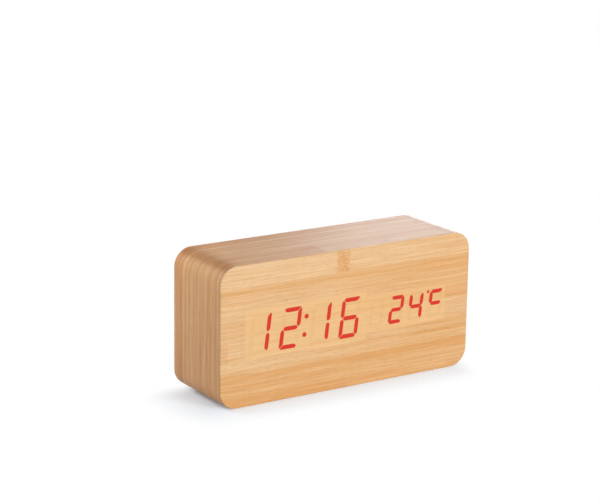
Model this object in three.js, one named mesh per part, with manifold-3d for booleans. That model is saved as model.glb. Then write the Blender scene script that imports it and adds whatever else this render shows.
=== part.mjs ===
// Desk calendar clock: an MDF block covered in bamboo veneer, with a red LED display that shines through
// the front veneer and a black rear panel that carries the batteries, three buttons and the power jack.
// Millimetres. X runs to the right seen from the front, Y to the back and Z up.
// The origin is on the table, under the middle of the case.
import * as THREE from "three";
import { ConvexGeometry } from "three/addons/geometries/ConvexGeometry.js";
import { mergeVertices } from "three/addons/utils/BufferGeometryUtils.js";
import Module from "manifold-3d";

const wasm = await Module();
wasm.setup();

// Case: the veneered block
const CASE_WIDTH = 150;
const CASE_HEIGHT = 72;
const CASE_DEPTH = 45;
const CORNER_RADIUS = 9.6;
const VENEER = 0.8;
const WRAP_SEAM = 0.3; // butt joint of the wrap, on the underside
const WRAP_SEAM_X = 20;
const FRONT_WALL = 6; // MDF in front of the pocket
const SIDE_WALL = 11; // MDF left and right of the pocket
const POCKET_RADIUS = 10;
const PANEL_LEDGE = 4; // step round the pocket that carries the rear panel

// Clearances
const SEAT = 0.1; // glue line, or gap between seated faces
const FIT = 0.3; // side clearance of a piece in its opening
const HOLE_FIT = 0.15; // clearance round a screw, pin or stem
const REST = 0.2; // gap between a moving piece and what stops it
const CUT = 1; // a cutting tool reaches this far past the face that it cuts

// Display: large digits for the time at the left, small ones for date and temperature at the right
const DISPLAY_X = -0.5; // middle of the two windows
const DISPLAY_RISE = 0.4; // above mid-height
const DISPLAY_MARGIN = 2.6; // from the windows' outer ends to the pocket's sides
const TIME_SHARE = 0.591; // the large digits' window, of the width of both
const WINDOW_MARGIN_X = 0.35; // window past the outer digits' pitch
const WINDOW_MARGIN_Z = 1.8; // window above and below the digits
const WINDOW_RADIUS = 1.5;
const TIME_SHIFT = -0.8; // the large digits sit left of their window's middle
const TIME_HEIGHT = 21.4;
const TIME_REACH = 9.6; // between the centre lines of a digit's upright segments
const TIME_STROKE = 2.4;
const DATE_HEIGHT = 15.4;
const DATE_REACH = 7.4;
const DATE_STROKE = 1.8;
const SLANT = 7.5; // degrees
const SEGMENT_GAP = 0.35; // between mitred segments
const SEGMENT_NIP = 0.5; // chamfer of a segment's outer corners
const COLON_DOT = 2.65;
const COLON_SPREAD = 9.3;
const DEGREE_DOT = 1.3;
const DEGREE_X = -5.5; // from the middle of the last small digit
const DEGREE_Z = 6.8;
const CHAMBER_TAPER = 0.6; // a light chamber is this much narrower at its LED
const SHELL_WALL = 0.8;
const RESIN_BED = 1.2; // resin behind the chambers
const BOARD = 1.6; // circuit board thickness
const DISPLAY_BOARD_HEIGHT = 38;
const DISPLAY_BOARD_GAP = 1.5; // between the board's ends and the pocket
const BOARD_RADIUS = 1;
const LED_LENGTH = 1.6;
const LED_WIDTH = 0.8;
const LED_HEIGHT = 0.8;
const DISPLAY_SCREW_INSET = 11.6; // from the board's ends
const DISPLAY_SCREW_Z = 15.5;

// Small parts on the display board's back, placed from the display's middle
const CHIP_X = 14;
const CHIP_LENGTH = 12.8;
const CHIP_WIDTH = 7.5;
const CHIP_HEIGHT = 2.2;
const CHIP_LEG = 0.42;
const CHIP_LEG_REACH = 1.4;
const CHIP_LEG_PITCH = 1.27;
const CRYSTAL_X = 30;
const CRYSTAL_LENGTH = 6;
const CRYSTAL_DIAMETER = 2;
const CAPACITOR_X = -6;
const CAPACITOR_DIAMETER = 6.3;
const CAPACITOR_HEIGHT = 7;

// Screws: the panel's, and the smaller ones of the two boards
const PANEL_SCREW = { shank: 2.6, head: 4.8, headHeight: 0.9, length: 8 };
const BOARD_SCREW = { shank: 2.2, head: 4, headHeight: 1.2, length: 5.6 };
const SCREW_INSET = 4.6; // panel screws, from the panel's edges

// Rear panel
const PANEL = 2; // wall thickness
const PANEL_RECESS = 1; // sunk below the rear face
const COUNTERBORE = 1; // depth of a panel screw's head recess
const SKIRT = 3; // rim that centres the panel in the pocket
const SKIRT_WALL = 1.2;
const VENT_SLOT = 1.2;
const VENT_PITCH = 2.4;
const BUZZER_VENT = 8; // slot lengths
const SENSOR_VENT = 5;
const BUZZER_VENTS = 5; // slot counts
const SENSOR_VENTS = 3;

// Battery bay: four AAA cells lying across the clock, one above another
const CELL_DIAMETER = 10.5;
const CELL_LENGTH = 44.5; // with its nub
const CELL_EDGE = 0.5;
const NUB_DIAMETER = 3.8;
const NUB_LENGTH = 0.9;
const CELL_GAP = 0.7;
const CELL_PLAY = 0.5; // between a cell and the door
const CRADLE_GAP = 0.25; // between a cell and its cradle
const CRADLE_RISE = 2.5;
const CRADLE_SETBACK = 7; // cradles end this far from the bay's ends
const BAY_WALL = 1.6;
const BAY_MARGIN = 0.6; // above the top cell and below the bottom one
const HOOK_ROOM = 4.4; // door past the bay's wall at the hooks
const SIDE_ROOM = 4.1; // panel between the door and the pocket's side
const LATCH_ROOM = 4.8; // door past the bay's wall at the tongue
const DOOR_LEDGE = 1; // bay rim that the door lies on

// Battery contacts
const CONTACT = 0.4; // sheet thickness
const CONTACT_WIDTH = 9;
const CONTACT_BACK = 0.3; // behind a contact
const CONTACT_DROP = 1.8; // from the door's inner face to a contact's edge
const DIMPLE = 0.8;
const DIMPLE_DIAMETER = 4.4;
const SPRING_LENGTH = 4.9;
const SPRING_WIRE = 0.6;
const SPRING_TURNS = 4;
const SPRING_BASE = 6.6; // diameters on the wire's centre line
const SPRING_TIP = 4.4;
const CONTACT_RIB = 1;
const RIB_OVERLAP = 0.5; // of a rib over a contact's edge
const SOLDER_TAB = 3;
const SOLDER_TAB_REACH = 2; // past the bay's floor
const LEAD_DIAMETER = 1.2;

// Battery door
const DOOR = 1.8;
const DOOR_FIT = 0.3;
const DOOR_RADIUS = 2;
const DOOR_RIB = 1;
const DOOR_RIB_HEIGHT = 1.5;
const HOOK_WIDTH = 8;
const HOOK_SPACING = 26;
const HOOK_REACH = 2.2;
const HOOK_ROOT = 2;
const HOOK = 1.2; // thickness
const TONGUE_WIDTH = 12;
const TONGUE = 0.9; // thickness
const TONGUE_DEPTH = 5.7;
const TONGUE_BEND = 0.75; // inner radius of its fold
const TONGUE_INSET = 0.4; // from the door's edge
const NIB = 0.35;
const NIB_HEIGHT = 1.4;
const SCOOP_RADIUS = 12;
const SCOOP_DEPTH = 1.1; // fingernail recess beside the tongue

// Controls, placed from the middle of the control board
const CONTROL_SHARE = 0.8; // board width, of the room between the door and the pocket's side
const CONTROL_BOARD_HEIGHT = 38;
const STANDOFF = 7; // between panel and board
const BOSS_DIAMETER = 5;
const BOSS_INSET = 3.5; // from the board's ends
const BOSS_Z = 15.5;
const PIN_DIAMETER = 2.2;
const BUTTON_SHARE = 0.28; // button pitch, of the board's width
const BUTTON_RISE = 8;
const BUTTON_DIAMETER = 6;
const BUTTON_FLANGE = 8;
const BUTTON_FLANGE_HEIGHT = 1;
const BUTTON_PROUD = 0.9; // stands out of the panel
const BUTTON_EDGE = 0.4;
const BUTTON_FIT = 0.2;
const BUTTON_TRAVEL = 0.5;
const SWITCH_WIDTH = 6;
const SWITCH_HEIGHT = 3.5;
const STEM_DIAMETER = 3.4;
const STEM_PROUD = 1.4;
const STEM_SUNK = 1.7;
const JACK_Z = -8; // straight below the first button
const JACK_WIDTH = 9;
const JACK_NOSE = 6.4;
const JACK_BORE = 3.7;
const JACK_FLOOR = 1;
const JACK_PIN = 1.3;
const JACK_PIN_DEPTH = 1.2; // the pin's tip, behind the mouth
const BUZZER_SHARE = 0.24; // to the right, of the board's width
const BUZZER_Z = -8;
const BUZZER_DIAMETER = 12;
const BUZZER_HEIGHT = 6.2;
const BUZZER_HOLE = 2;
const SENSOR_SHARE = -0.02;
const SENSOR_Z = -9;
const SENSOR_BEAD = 2.6;
const SENSOR_HEIGHT = 5.4;
const SENSOR_WIRE = 0.5;
const SENSOR_WIRE_PITCH = 1.3;
const PAD_INSET = 6; // where the battery leads are soldered, from the board's end
const PAD_Z = 6;

// Ribbon between the two boards
const SOCKET_WIDTH = 11;
const SOCKET_HEIGHT = 5.8;
const SOCKET_DEPTH = 5.5;
const SOCKET_MOUTH = 2;
const SOCKET_DROP = 13; // control socket, below the board's middle
const SOCKET_RISE = 10; // display socket, above the display's middle
const RIBBON_WIRES = 6;
const RIBBON_PITCH = 1.27;
const RIBBON_WAIST = 0.6; // thickness between two wires
const RIBBON_EASE = 0.6; // how gently it bends: share of the gap between the sockets

// Depths, from the front to the back
const caseFront = -CASE_DEPTH / 2;
const caseBack = CASE_DEPTH / 2;
const coreFront = caseFront + VENEER + SEAT;
const coreBack = caseBack - VENEER - SEAT;
const pocketFront = coreFront + FRONT_WALL;
const displayBoardFront = pocketFront + SEAT;
const displayBoardBack = displayBoardFront + BOARD;
const shellBack = displayBoardFront - SEAT;
const resinBack = displayBoardFront - LED_HEIGHT - FIT;
const webBack = resinBack - RESIN_BED;
const panelOuter = caseBack - PANEL_RECESS;
const panelInner = panelOuter - PANEL;
const doorInner = panelOuter - DOOR;
const cellY = doorInner - CELL_PLAY - CELL_DIAMETER / 2;
const bayFloor = cellY - CELL_DIAMETER / 2 - CRADLE_GAP;
const bayFront = bayFloor - BAY_WALL;
const controlBoardBack = panelInner - STANDOFF;
const controlBoardFront = controlBoardBack - BOARD;

// Widths and heights of the pocket, the panel and the bay, and their middles
const midZ = CASE_HEIGHT / 2;
const displayZ = midZ + DISPLAY_RISE;
const coreInset = VENEER + SEAT;
const pocketHalfWidth = CASE_WIDTH / 2 - coreInset - SIDE_WALL;
const panelHalfWidth = pocketHalfWidth + PANEL_LEDGE - FIT;
const cellPitch = CELL_DIAMETER + CELL_GAP;
const COLUMNS = [-1.5, -0.5, 0.5, 1.5]; // four of a kind about their middle, in pitches
const bayHalfHeight = (COLUMNS.length * cellPitch) / 2 + BAY_MARGIN;
const pocketHalfHeight = bayHalfHeight + BAY_WALL + SKIRT_WALL + FIT;
const panelHalfHeight = pocketHalfHeight + PANEL_LEDGE - FIT;
const contactDepth = CONTACT_BACK + CONTACT;
const bayLength = CELL_LENGTH + SPRING_LENGTH + DIMPLE + 2 * (contactDepth + REST);
const openingRight = pocketHalfWidth - SIDE_ROOM;
const bayRight = openingRight - HOOK_ROOM - BAY_WALL;
const bayLeft = bayRight - bayLength;
const openingLeft = bayLeft - BAY_WALL - LATCH_ROOM;
const openingHalfHeight = bayHalfHeight + DOOR_LEDGE;
const doorLeft = openingLeft + DOOR_FIT;
const doorRight = openingRight - DOOR_FIT;
const controlX = (openingLeft - pocketHalfWidth) / 2;
const controlBoardWidth = (openingLeft + pocketHalfWidth) * CONTROL_SHARE;
const bossX = controlBoardWidth / 2 - BOSS_INSET;
const buttonPitch = controlBoardWidth * BUTTON_SHARE;
const jackX = -buttonPitch;
const buzzerX = controlBoardWidth * BUZZER_SHARE;
const sensorX = controlBoardWidth * SENSOR_SHARE;
const displayBoardWidth = 2 * (pocketHalfWidth - DISPLAY_BOARD_GAP);
const displayScrewX = displayBoardWidth / 2 - DISPLAY_SCREW_INSET;

// Materials
const finish = (color, roughness, metalness = 0) =>
  new THREE.MeshStandardMaterial({ color, roughness, metalness });
const frontBamboo = () => finish(0xeabf8e, 0.45);
const sideBamboo = () => finish(0xc69b70, 0.45);
const fibreboard = () => finish(0x9c7a55, 0.9);
const blackPlastic = () => finish(0x1d1d1f, 0.55);
const whitePlastic = () => finish(0xe9e7e0, 0.6);
const milkyResin = () => finish(0xf2d9d0, 0.35);
const greenBoard = () => finish(0x1f5a38, 0.4);
const steel = () => finish(0xb4b6b8, 0.35, 1);
const nickel = () => finish(0xc9c7c0, 0.25, 1);
const cellJacket = () => finish(0x5b6f7c, 0.3, 0.6);
const redPlastic = () => finish(0xb3221c, 0.5);

// Solids from geometries: joined, cut and turned back into meshes
function solidOf(geometry) {
  geometry.deleteAttribute("normal");
  geometry.deleteAttribute("uv");
  const merged = mergeVertices(geometry);
  const vertProperties = merged.attributes.position.array;
  const triVerts = new Uint32Array(merged.index.array);
  return new wasm.Manifold(new wasm.Mesh({ numProp: 3, vertProperties, triVerts }));
}

function geometryOf(solid) {
  const { vertProperties, triVerts } = solid.getMesh();
  const geometry = new THREE.BufferGeometry();
  geometry.setAttribute("position", new THREE.BufferAttribute(vertProperties, 3));
  geometry.setIndex(new THREE.BufferAttribute(triVerts, 1));
  geometry.computeVertexNormals();
  return geometry;
}

const joined = (solids) => solids.reduce((sum, solid) => sum.add(solid));
const cutBy = (base, tools) => tools.reduce((rest, tool) => rest.subtract(tool), base);

function addPart(group, name, solid, material, position = [0, 0, 0]) {
  const mesh = new THREE.Mesh(geometryOf(solid), material);
  mesh.name = name;
  mesh.position.set(...position);
  group.add(mesh);
  return mesh;
}

// Basic forms. Outlines are drawn as seen from the front, with X across and Z up.
function roundedRect(width, height, radius, x = 0, z = 0) {
  const shape = new THREE.Shape();
  const [right, top] = [x + width / 2 - radius, z + height / 2 - radius];
  const [left, bottom] = [x - width / 2 + radius, z - height / 2 + radius];
  shape.absarc(right, bottom, radius, -Math.PI / 2, 0);
  shape.absarc(right, top, radius, 0, Math.PI / 2);
  shape.absarc(left, top, radius, Math.PI / 2, Math.PI);
  shape.absarc(left, bottom, radius, Math.PI, 1.5 * Math.PI);
  return shape;
}

function prism(shape, front, back, curveSegments = 2) {
  const depth = back - front;
  const geometry = new THREE.ExtrudeGeometry(shape, { depth, bevelEnabled: false, curveSegments });
  return solidOf(geometry.rotateX(Math.PI / 2).translate(0, back, 0));
}

function block([x0, x1], [y0, y1], [z0, z1]) {
  const geometry = new THREE.BoxGeometry(x1 - x0, y1 - y0, z1 - z0);
  return solidOf(geometry.translate((x0 + x1) / 2, (y0 + y1) / 2, (z0 + z1) / 2));
}

const about = (middle, size) => [middle - size / 2, middle + size / 2];
const sorted = (a, b) => [Math.min(a, b), Math.max(a, b)];

function rod(diameter, front, back, x = 0, z = 0, sides = 12) {
  const geometry = new THREE.CylinderGeometry(diameter / 2, diameter / 2, back - front, sides);
  return solidOf(geometry.translate(x, (front + back) / 2, z));
}

// A turned piece on the Y axis, from a profile of [radius, depth] that starts and ends on the axis.
function turned(profile, sides = 12) {
  return solidOf(new THREE.LatheGeometry(profile.map(([radius, y]) => new THREE.Vector2(radius, y)), sides));
}

function tubeAlong(curve, diameter, steps, sides) {
  const section = new THREE.Shape();
  section.absarc(0, 0, diameter / 2, 0, 2 * Math.PI);
  const settings = { steps, extrudePath: curve, curveSegments: sides / 2 };
  return solidOf(new THREE.ExtrudeGeometry(section, settings));
}

// A pan-head screw with its tip to the front, measured from the underside of its head
function screw({ shank, head, headHeight, length }) {
  const profile = [
    [0, -length],
    [shank / 4, -length],
    [shank / 2, -length + shank / 2],
    [shank / 2, 0],
    [head / 2, 0],
    [head / 2, headHeight / 2],
    [head / 3, headHeight],
    [0, headHeight],
  ];
  return turned(profile, 10);
}

const clock = new THREE.Group();

// Case: the fibreboard core with its windows, pocket and ledge, and the veneer glued round it
const caseOutline = (inset) =>
  roundedRect(CASE_WIDTH - 2 * inset, CASE_HEIGHT - 2 * inset, CORNER_RADIUS - inset, 0, midZ);
const CORNER_STEPS = 4; // half the facets of a case corner
const pocketOutline = (grow, radius) =>
  roundedRect(2 * (pocketHalfWidth + grow), 2 * (pocketHalfHeight + grow), radius, 0, midZ);
const ledgeOutline = () => pocketOutline(PANEL_LEDGE, POCKET_RADIUS - PANEL_LEDGE);

const windowsWidth = 2 * (pocketHalfWidth - DISPLAY_MARGIN);
const timeWindow = {
  width: windowsWidth * TIME_SHARE,
  height: TIME_HEIGHT + 2 * WINDOW_MARGIN_Z,
};
const dateWindow = {
  width: windowsWidth - timeWindow.width,
  height: DATE_HEIGHT + 2 * WINDOW_MARGIN_Z,
};
const digitPitch = ({ width }) => (width - 2 * WINDOW_MARGIN_X) / COLUMNS.length;
timeWindow.x = -dateWindow.width / 2;
dateWindow.x = timeWindow.width / 2;

const displayScrewPlaces = [-1, 1].flatMap((sx) =>
  [-1, 1].map((sz) => [sx * displayScrewX, sz * DISPLAY_SCREW_Z]),
);
const panelScrewPlaces = [-1, 1].flatMap((sx) =>
  [-1, 1].map((sz) => [sx * (panelHalfWidth - SCREW_INSET), sz * (panelHalfHeight - SCREW_INSET)]),
);
const screwHole = ({ shank }) => shank + 2 * HOLE_FIT;
const counterboreFloor = panelOuter - COUNTERBORE;

const windowCuts = [timeWindow, dateWindow].map(({ width, height, x }) =>
  prism(
    roundedRect(width, height, WINDOW_RADIUS, DISPLAY_X + x, displayZ),
    coreFront - CUT,
    pocketFront + CUT,
  ),
);
const displayPilotHoles = displayScrewPlaces.map(([x, z]) =>
  rod(
    screwHole(BOARD_SCREW),
    displayBoardBack - BOARD_SCREW.length - FIT,
    pocketFront + CUT,
    DISPLAY_X + x,
    displayZ + z,
    8,
  ),
);
const panelPilotHoles = panelScrewPlaces.map(([x, z]) =>
  rod(
    screwHole(PANEL_SCREW),
    counterboreFloor - PANEL_SCREW.length - FIT,
    panelInner + CUT,
    x,
    midZ + z,
    8,
  ),
);
const core = cutBy(prism(caseOutline(coreInset), coreFront, coreBack, CORNER_STEPS), [
  prism(pocketOutline(0, POCKET_RADIUS), pocketFront, coreBack + CUT),
  prism(ledgeOutline(), panelInner - SEAT, coreBack + CUT),
  ...windowCuts,
  ...displayPilotHoles,
  ...panelPilotHoles,
]);
addPart(clock, "case_core", core, fibreboard());

const frontSheet = prism(caseOutline(0), caseFront, caseFront + VENEER, CORNER_STEPS);
addPart(clock, "front_veneer", frontSheet, frontBamboo());

const wrap = cutBy(prism(caseOutline(0), coreFront, coreBack, CORNER_STEPS), [
  prism(caseOutline(VENEER), coreFront - CUT, coreBack + CUT, CORNER_STEPS),
  block(about(WRAP_SEAM_X, WRAP_SEAM), [coreFront - CUT, coreBack + CUT], [-CUT, VENEER + CUT]),
]);
addPart(clock, "side_wrap", wrap, sideBamboo());

const rearSheet = prism(caseOutline(0), caseBack - VENEER, caseBack, CORNER_STEPS).subtract(
  prism(ledgeOutline(), coreBack - CUT, caseBack + CUT),
);
addPart(clock, "rear_veneer", rearSheet, sideBamboo());

// Display: seven-segment reflector shells with cast resin in their chambers, on one circuit board
const display = new THREE.Group();
display.position.set(DISPLAY_X, 0, displayZ);
clock.add(display);
const lean = Math.tan(THREE.MathUtils.degToRad(SLANT));
const leaned = ([x, z]) => [x + z * lean, z];
const mirrored = (outline, sx, sz) => outline.map(([x, z]) => [x * sx, z * sz]);

// The seven outlines of a digit about its middle. Segments meet on 45 degree mitres, a gap apart, the
// middle bar and the uprights' inner ends are pointed, and the digit leans to the right.
function segmentOutlines({ reach, rise, stroke, gap }) {
  const half = stroke / 2;
  const side = reach / 2;
  const slip = gap * Math.SQRT1_2;
  const nip = SEGMENT_NIP;
  const edge = side + half - slip;
  const topBar = [
    [-edge + nip, rise + half],
    [edge - nip, rise + half],
    [edge - nip / 2, rise + half - nip / 2],
    [side - half - slip, rise - half],
    [-side + half + slip, rise - half],
    [-edge + nip / 2, rise + half - nip / 2],
  ];
  const upright = [
    [-side - half, rise + half - slip - nip],
    [-side - half + nip / 2, rise + half - slip - nip / 2],
    [-side + half, rise - half - slip],
    [-side + half, half + slip],
    [-side, slip],
    [-side - half, half + slip],
  ];
  const tip = side - slip;
  const middleBar = [
    [-tip, 0],
    [-tip + half, half],
    [tip - half, half],
    [tip, 0],
    [tip - half, -half],
    [-tip + half, -half],
  ];
  const uprights = [1, -1].flatMap((sx) => [1, -1].map((sz) => mirrored(upright, sx, sz)));
  return [topBar, mirrored(topBar, 1, -1), middleBar, ...uprights].map((outline) => outline.map(leaned));
}

function dotOutline(diameter, x, z) {
  const circle = new THREE.EllipseCurve(0, 0, diameter / 2, diameter / 2);
  const [dotX, dotZ] = leaned([x, z]);
  return circle.getPoints(8).slice(1).map((point) => [point.x + dotX, point.y + dotZ]);
}

// All light chambers of one display, drawn narrower by `inset` all round
function chamberOutlines({ pitch, height, reach, stroke, shift, dots }, inset) {
  const rise = (height - stroke) / 2;
  const digit = segmentOutlines({
    reach,
    rise,
    stroke: stroke - 2 * inset,
    gap: SEGMENT_GAP + 2 * inset,
  });
  const digits = COLUMNS.flatMap((column) =>
    digit.map((outline) => outline.map(([x, z]) => [x + column * pitch + shift, z])),
  );
  const points = dots.map(({ diameter, x, z }) => dotOutline(diameter - 2 * inset, x + shift, z));
  return [...digits, ...points];
}

const timeDisplay = {
  ...timeWindow,
  pitch: digitPitch(timeWindow),
  digit: TIME_HEIGHT,
  reach: TIME_REACH,
  stroke: TIME_STROKE,
  shift: TIME_SHIFT,
  dots: [1, -1].map((side) => ({ diameter: COLON_DOT, x: 0, z: (side * COLON_SPREAD) / 2 })),
};
const dateDisplay = {
  ...dateWindow,
  pitch: digitPitch(dateWindow),
  digit: DATE_HEIGHT,
  reach: DATE_REACH,
  stroke: DATE_STROKE,
  shift: 0,
  dots: [{ diameter: DEGREE_DOT, x: COLUMNS.at(-1) * digitPitch(dateWindow) + DEGREE_X, z: DEGREE_Z }],
};

// Funnels from the front outlines to the LEDs' outlines
function funnels(unit, inset, front, back) {
  const sizes = { ...unit, height: unit.digit };
  const mouths = chamberOutlines(sizes, inset);
  const throats = chamberOutlines(sizes, inset + CHAMBER_TAPER / 2);
  return mouths.map((mouth, index) => {
    const points = [
      ...mouth.map(([x, z]) => new THREE.Vector3(x, front, z)),
      ...throats[index].map(([x, z]) => new THREE.Vector3(x, back, z)),
    ];
    return solidOf(new ConvexGeometry(points));
  });
}

function ledPlaces(unit) {
  return chamberOutlines({ ...unit, height: unit.digit }, 0).map((outline) =>
    [0, 1].map((axis) => outline.reduce((sum, point) => sum + point[axis], 0) / outline.length),
  );
}

function ledBlocks(unit) {
  return ledPlaces(unit).map(([x, z]) =>
    block(
      about(unit.x + x, LED_LENGTH),
      [displayBoardFront - LED_HEIGHT, displayBoardFront + SEAT],
      about(z, LED_WIDTH),
    ),
  );
}

function addDisplayUnit(name, unit) {
  const width = unit.width - 2 * FIT;
  const height = unit.height - 2 * FIT;
  const bedWidth = width - 2 * SHELL_WALL;
  const bedHeight = height - 2 * SHELL_WALL;
  const shell = cutBy(prism(roundedRect(width, height, WINDOW_RADIUS), coreFront, shellBack), [
    prism(roundedRect(bedWidth, bedHeight, WINDOW_RADIUS), webBack, shellBack + CUT),
    ...funnels(unit, 0, coreFront - CUT / 2, webBack + CUT / 2),
  ]);
  const bed = roundedRect(bedWidth - 2 * HOLE_FIT, bedHeight - 2 * HOLE_FIT, WINDOW_RADIUS);
  const resin = joined([
    prism(bed, webBack + HOLE_FIT, resinBack),
    ...funnels(unit, HOLE_FIT, coreFront, webBack + 2 * HOLE_FIT),
  ]);
  const place = [unit.x, 0, 0];
  addPart(display, `${name}_shell`, shell, whitePlastic(), place);
  addPart(display, `${name}_resin`, resin, milkyResin(), place);
}
addDisplayUnit("time_display", timeDisplay);
addDisplayUnit("date_display", dateDisplay);

const displayBoard = cutBy(
  joined([
    prism(
      roundedRect(displayBoardWidth, DISPLAY_BOARD_HEIGHT, BOARD_RADIUS, -DISPLAY_X),
      displayBoardFront,
      displayBoardBack,
    ),
    ...[timeDisplay, dateDisplay].flatMap(ledBlocks),
  ]),
  displayScrewPlaces.map(([x, z]) =>
    rod(screwHole(BOARD_SCREW), displayBoardFront - CUT, displayBoardBack + CUT, x, z, 8),
  ),
);
addPart(display, "display_board", displayBoard, greenBoard());

const boardScrew = screw(BOARD_SCREW);
displayScrewPlaces.forEach(([x, z], index) => {
  const place = [x, displayBoardBack + SEAT, z];
  addPart(display, `display_screw_${index + 1}`, boardScrew, steel(), place);
});

// Small parts soldered to the display board's back
const chipLegs = [-3, -2, -1, 0, 1, 2, 3].map((leg) =>
  block(
    about(leg * CHIP_LEG_PITCH, CHIP_LEG),
    [0, CHIP_LEG],
    about(0, CHIP_WIDTH + 2 * CHIP_LEG_REACH),
  ),
);
const chipBody = block(about(0, CHIP_LENGTH), [0, CHIP_HEIGHT], about(0, CHIP_WIDTH));
const onDisplayBoard = displayBoardBack + SEAT;
addPart(display, "controller_chip", joined([chipBody, ...chipLegs]), blackPlastic(), [
  CHIP_X,
  onDisplayBoard,
  0,
]);
const crystal = addPart(
  display,
  "timing_crystal",
  rod(CRYSTAL_DIAMETER, 0, CRYSTAL_LENGTH, 0, 0, 12),
  steel(),
  [CRYSTAL_X, onDisplayBoard + CRYSTAL_DIAMETER / 2, 0],
);
crystal.rotation.z = -Math.PI / 2;
addPart(
  display,
  "supply_capacitor",
  rod(CAPACITOR_DIAMETER, 0, CAPACITOR_HEIGHT),
  steel(),
  [CAPACITOR_X, onDisplayBoard, 0],
);

// Rear panel: one moulding with skirt, battery bay, bosses, vents and holes, about the panel's middle
const rear = new THREE.Group();
rear.position.set(0, 0, midZ);
clock.add(rear);
const bosses = [-1, 1].flatMap((sx) => [-1, 1].map((sz) => ({ sx, sz, pinned: sx === sz })));
const bossPlace = ({ sx, sz }) => [controlX + sx * bossX, sz * BOSS_Z];
const buttonNames = ["down", "up", "set"];
const buttonX = (index) => controlX + (index - 1) * buttonPitch;
const cellZ = (index) => COLUMNS[index] * cellPitch;

function skirt() {
  const outline = (inset) =>
    roundedRect(2 * (pocketHalfWidth - inset), 2 * (pocketHalfHeight - inset), POCKET_RADIUS - inset);
  const depths = [panelInner - SKIRT, panelInner];
  const hollow = prism(outline(FIT + SKIRT_WALL), depths[0] - CUT, depths[1] + CUT);
  return prism(outline(FIT), depths[0], depths[1] + SEAT).subtract(hollow);
}

// The bay: walls, a floor with half-round cradles, and ribs that hold the contacts against the ends
function batteryBay() {
  const outer = block(
    [bayLeft - BAY_WALL, bayRight + BAY_WALL],
    [bayFront, panelInner + SEAT],
    about(0, 2 * (bayHalfHeight + BAY_WALL)),
  );
  const across = about(0, 2 * bayHalfHeight);
  const cradleTop = bayFloor + CRADLE_RISE;
  const hollow = block([bayLeft, bayRight], [cradleTop, panelOuter], across);
  const ends = [
    block([bayLeft, bayLeft + CRADLE_SETBACK], [bayFloor, panelOuter], across),
    block([bayRight - CRADLE_SETBACK, bayRight], [bayFloor, panelOuter], across),
  ];
  const cradles = COLUMNS.map((_, index) => {
    const radius = CELL_DIAMETER / 2 + CRADLE_GAP;
    const trough = new THREE.CylinderGeometry(radius, radius, bayLength, 16);
    trough.rotateZ(Math.PI / 2).translate((bayLeft + bayRight) / 2, cellY, cellZ(index));
    return solidOf(trough);
  });
  return cutBy(outer, [hollow, ...ends, ...cradles]);
}

function contactRibs() {
  const clear = cellPitch - CONTACT_WIDTH + 2 * RIB_OVERLAP;
  const between = [-1, 0, 1].map((step) => about(step * cellPitch, clear));
  const outerEdge = cellZ(3) + CONTACT_WIDTH / 2 - RIB_OVERLAP;
  const atWalls = [
    [outerEdge, bayHalfHeight + SEAT],
    [-bayHalfHeight - SEAT, -outerEdge],
  ];
  const inner = contactDepth + REST;
  const ends = [
    [bayLeft + inner, bayLeft + inner + CONTACT_RIB],
    [bayRight - inner - CONTACT_RIB, bayRight - inner],
  ];
  const depths = [bayFloor - SEAT, doorInner - CONTACT_DROP];
  return ends.flatMap((end) => [...between, ...atWalls].map((height) => block(end, depths, height)));
}

const contactMiddle = contactDepth - CONTACT / 2; // a contact's middle, from the end of the bay
const tabSlits = [0, 3].map((index) =>
  block(
    about(bayRight - contactMiddle, CONTACT + 2 * FIT),
    [bayFront - CUT, bayFloor + CUT],
    about(cellZ(index), SOLDER_TAB + 2 * FIT),
  ),
);

function vents(x, z, count, length) {
  return Array.from({ length: count }, (_, index) =>
    block(
      about(x + (index - (count - 1) / 2) * VENT_PITCH, VENT_SLOT),
      [panelInner - CUT, panelOuter + CUT],
      about(z, length),
    ),
  );
}

const scoop = new THREE.SphereGeometry(SCOOP_RADIUS, 18, 18);
scoop.translate(openingLeft, panelOuter + SCOOP_RADIUS - SCOOP_DEPTH, 0);
const throughPanel = [panelInner - CUT, panelOuter + CUT];
const openingWidth = openingRight - openingLeft;
const openingMiddle = (openingLeft + openingRight) / 2;
const panelPlate = cutBy(
  prism(
    roundedRect(
      2 * panelHalfWidth,
      2 * panelHalfHeight,
      POCKET_RADIUS - PANEL_LEDGE - FIT,
    ),
    panelInner,
    panelOuter,
  ),
  [
    prism(
      roundedRect(openingWidth, 2 * openingHalfHeight, DOOR_RADIUS + DOOR_FIT, openingMiddle),
      ...throughPanel,
    ),
    ...buttonNames.map((_, index) =>
      rod(BUTTON_DIAMETER + 2 * BUTTON_FIT, ...throughPanel, buttonX(index), BUTTON_RISE, 16),
    ),
    rod(JACK_NOSE + 2 * FIT, ...throughPanel, controlX + jackX, JACK_Z, 16),
    ...vents(controlX + buzzerX, BUZZER_Z, BUZZER_VENTS, BUZZER_VENT),
    ...vents(controlX + sensorX, SENSOR_Z, SENSOR_VENTS, SENSOR_VENT),
    ...panelScrewPlaces.flatMap(([x, z]) => [
      rod(screwHole(PANEL_SCREW), ...throughPanel, x, z, 8),
      rod(PANEL_SCREW.head + 2 * FIT, counterboreFloor, panelOuter + CUT, x, z),
    ]),
    solidOf(scoop),
  ],
);
const bossSolids = bosses.map((boss) => {
  const [x, z] = bossPlace(boss);
  const post = rod(BOSS_DIAMETER, controlBoardBack + SEAT, panelInner + SEAT, x, z);
  return boss.pinned
    ? post.add(rod(PIN_DIAMETER, controlBoardFront, controlBoardBack + CUT, x, z, 8))
    : post.subtract(
        rod(screwHole(BOARD_SCREW), controlBoardBack, controlBoardFront + BOARD_SCREW.length + FIT, x, z, 8),
      );
});
const bayWithRibs = joined([batteryBay(), ...contactRibs()]);
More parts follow.
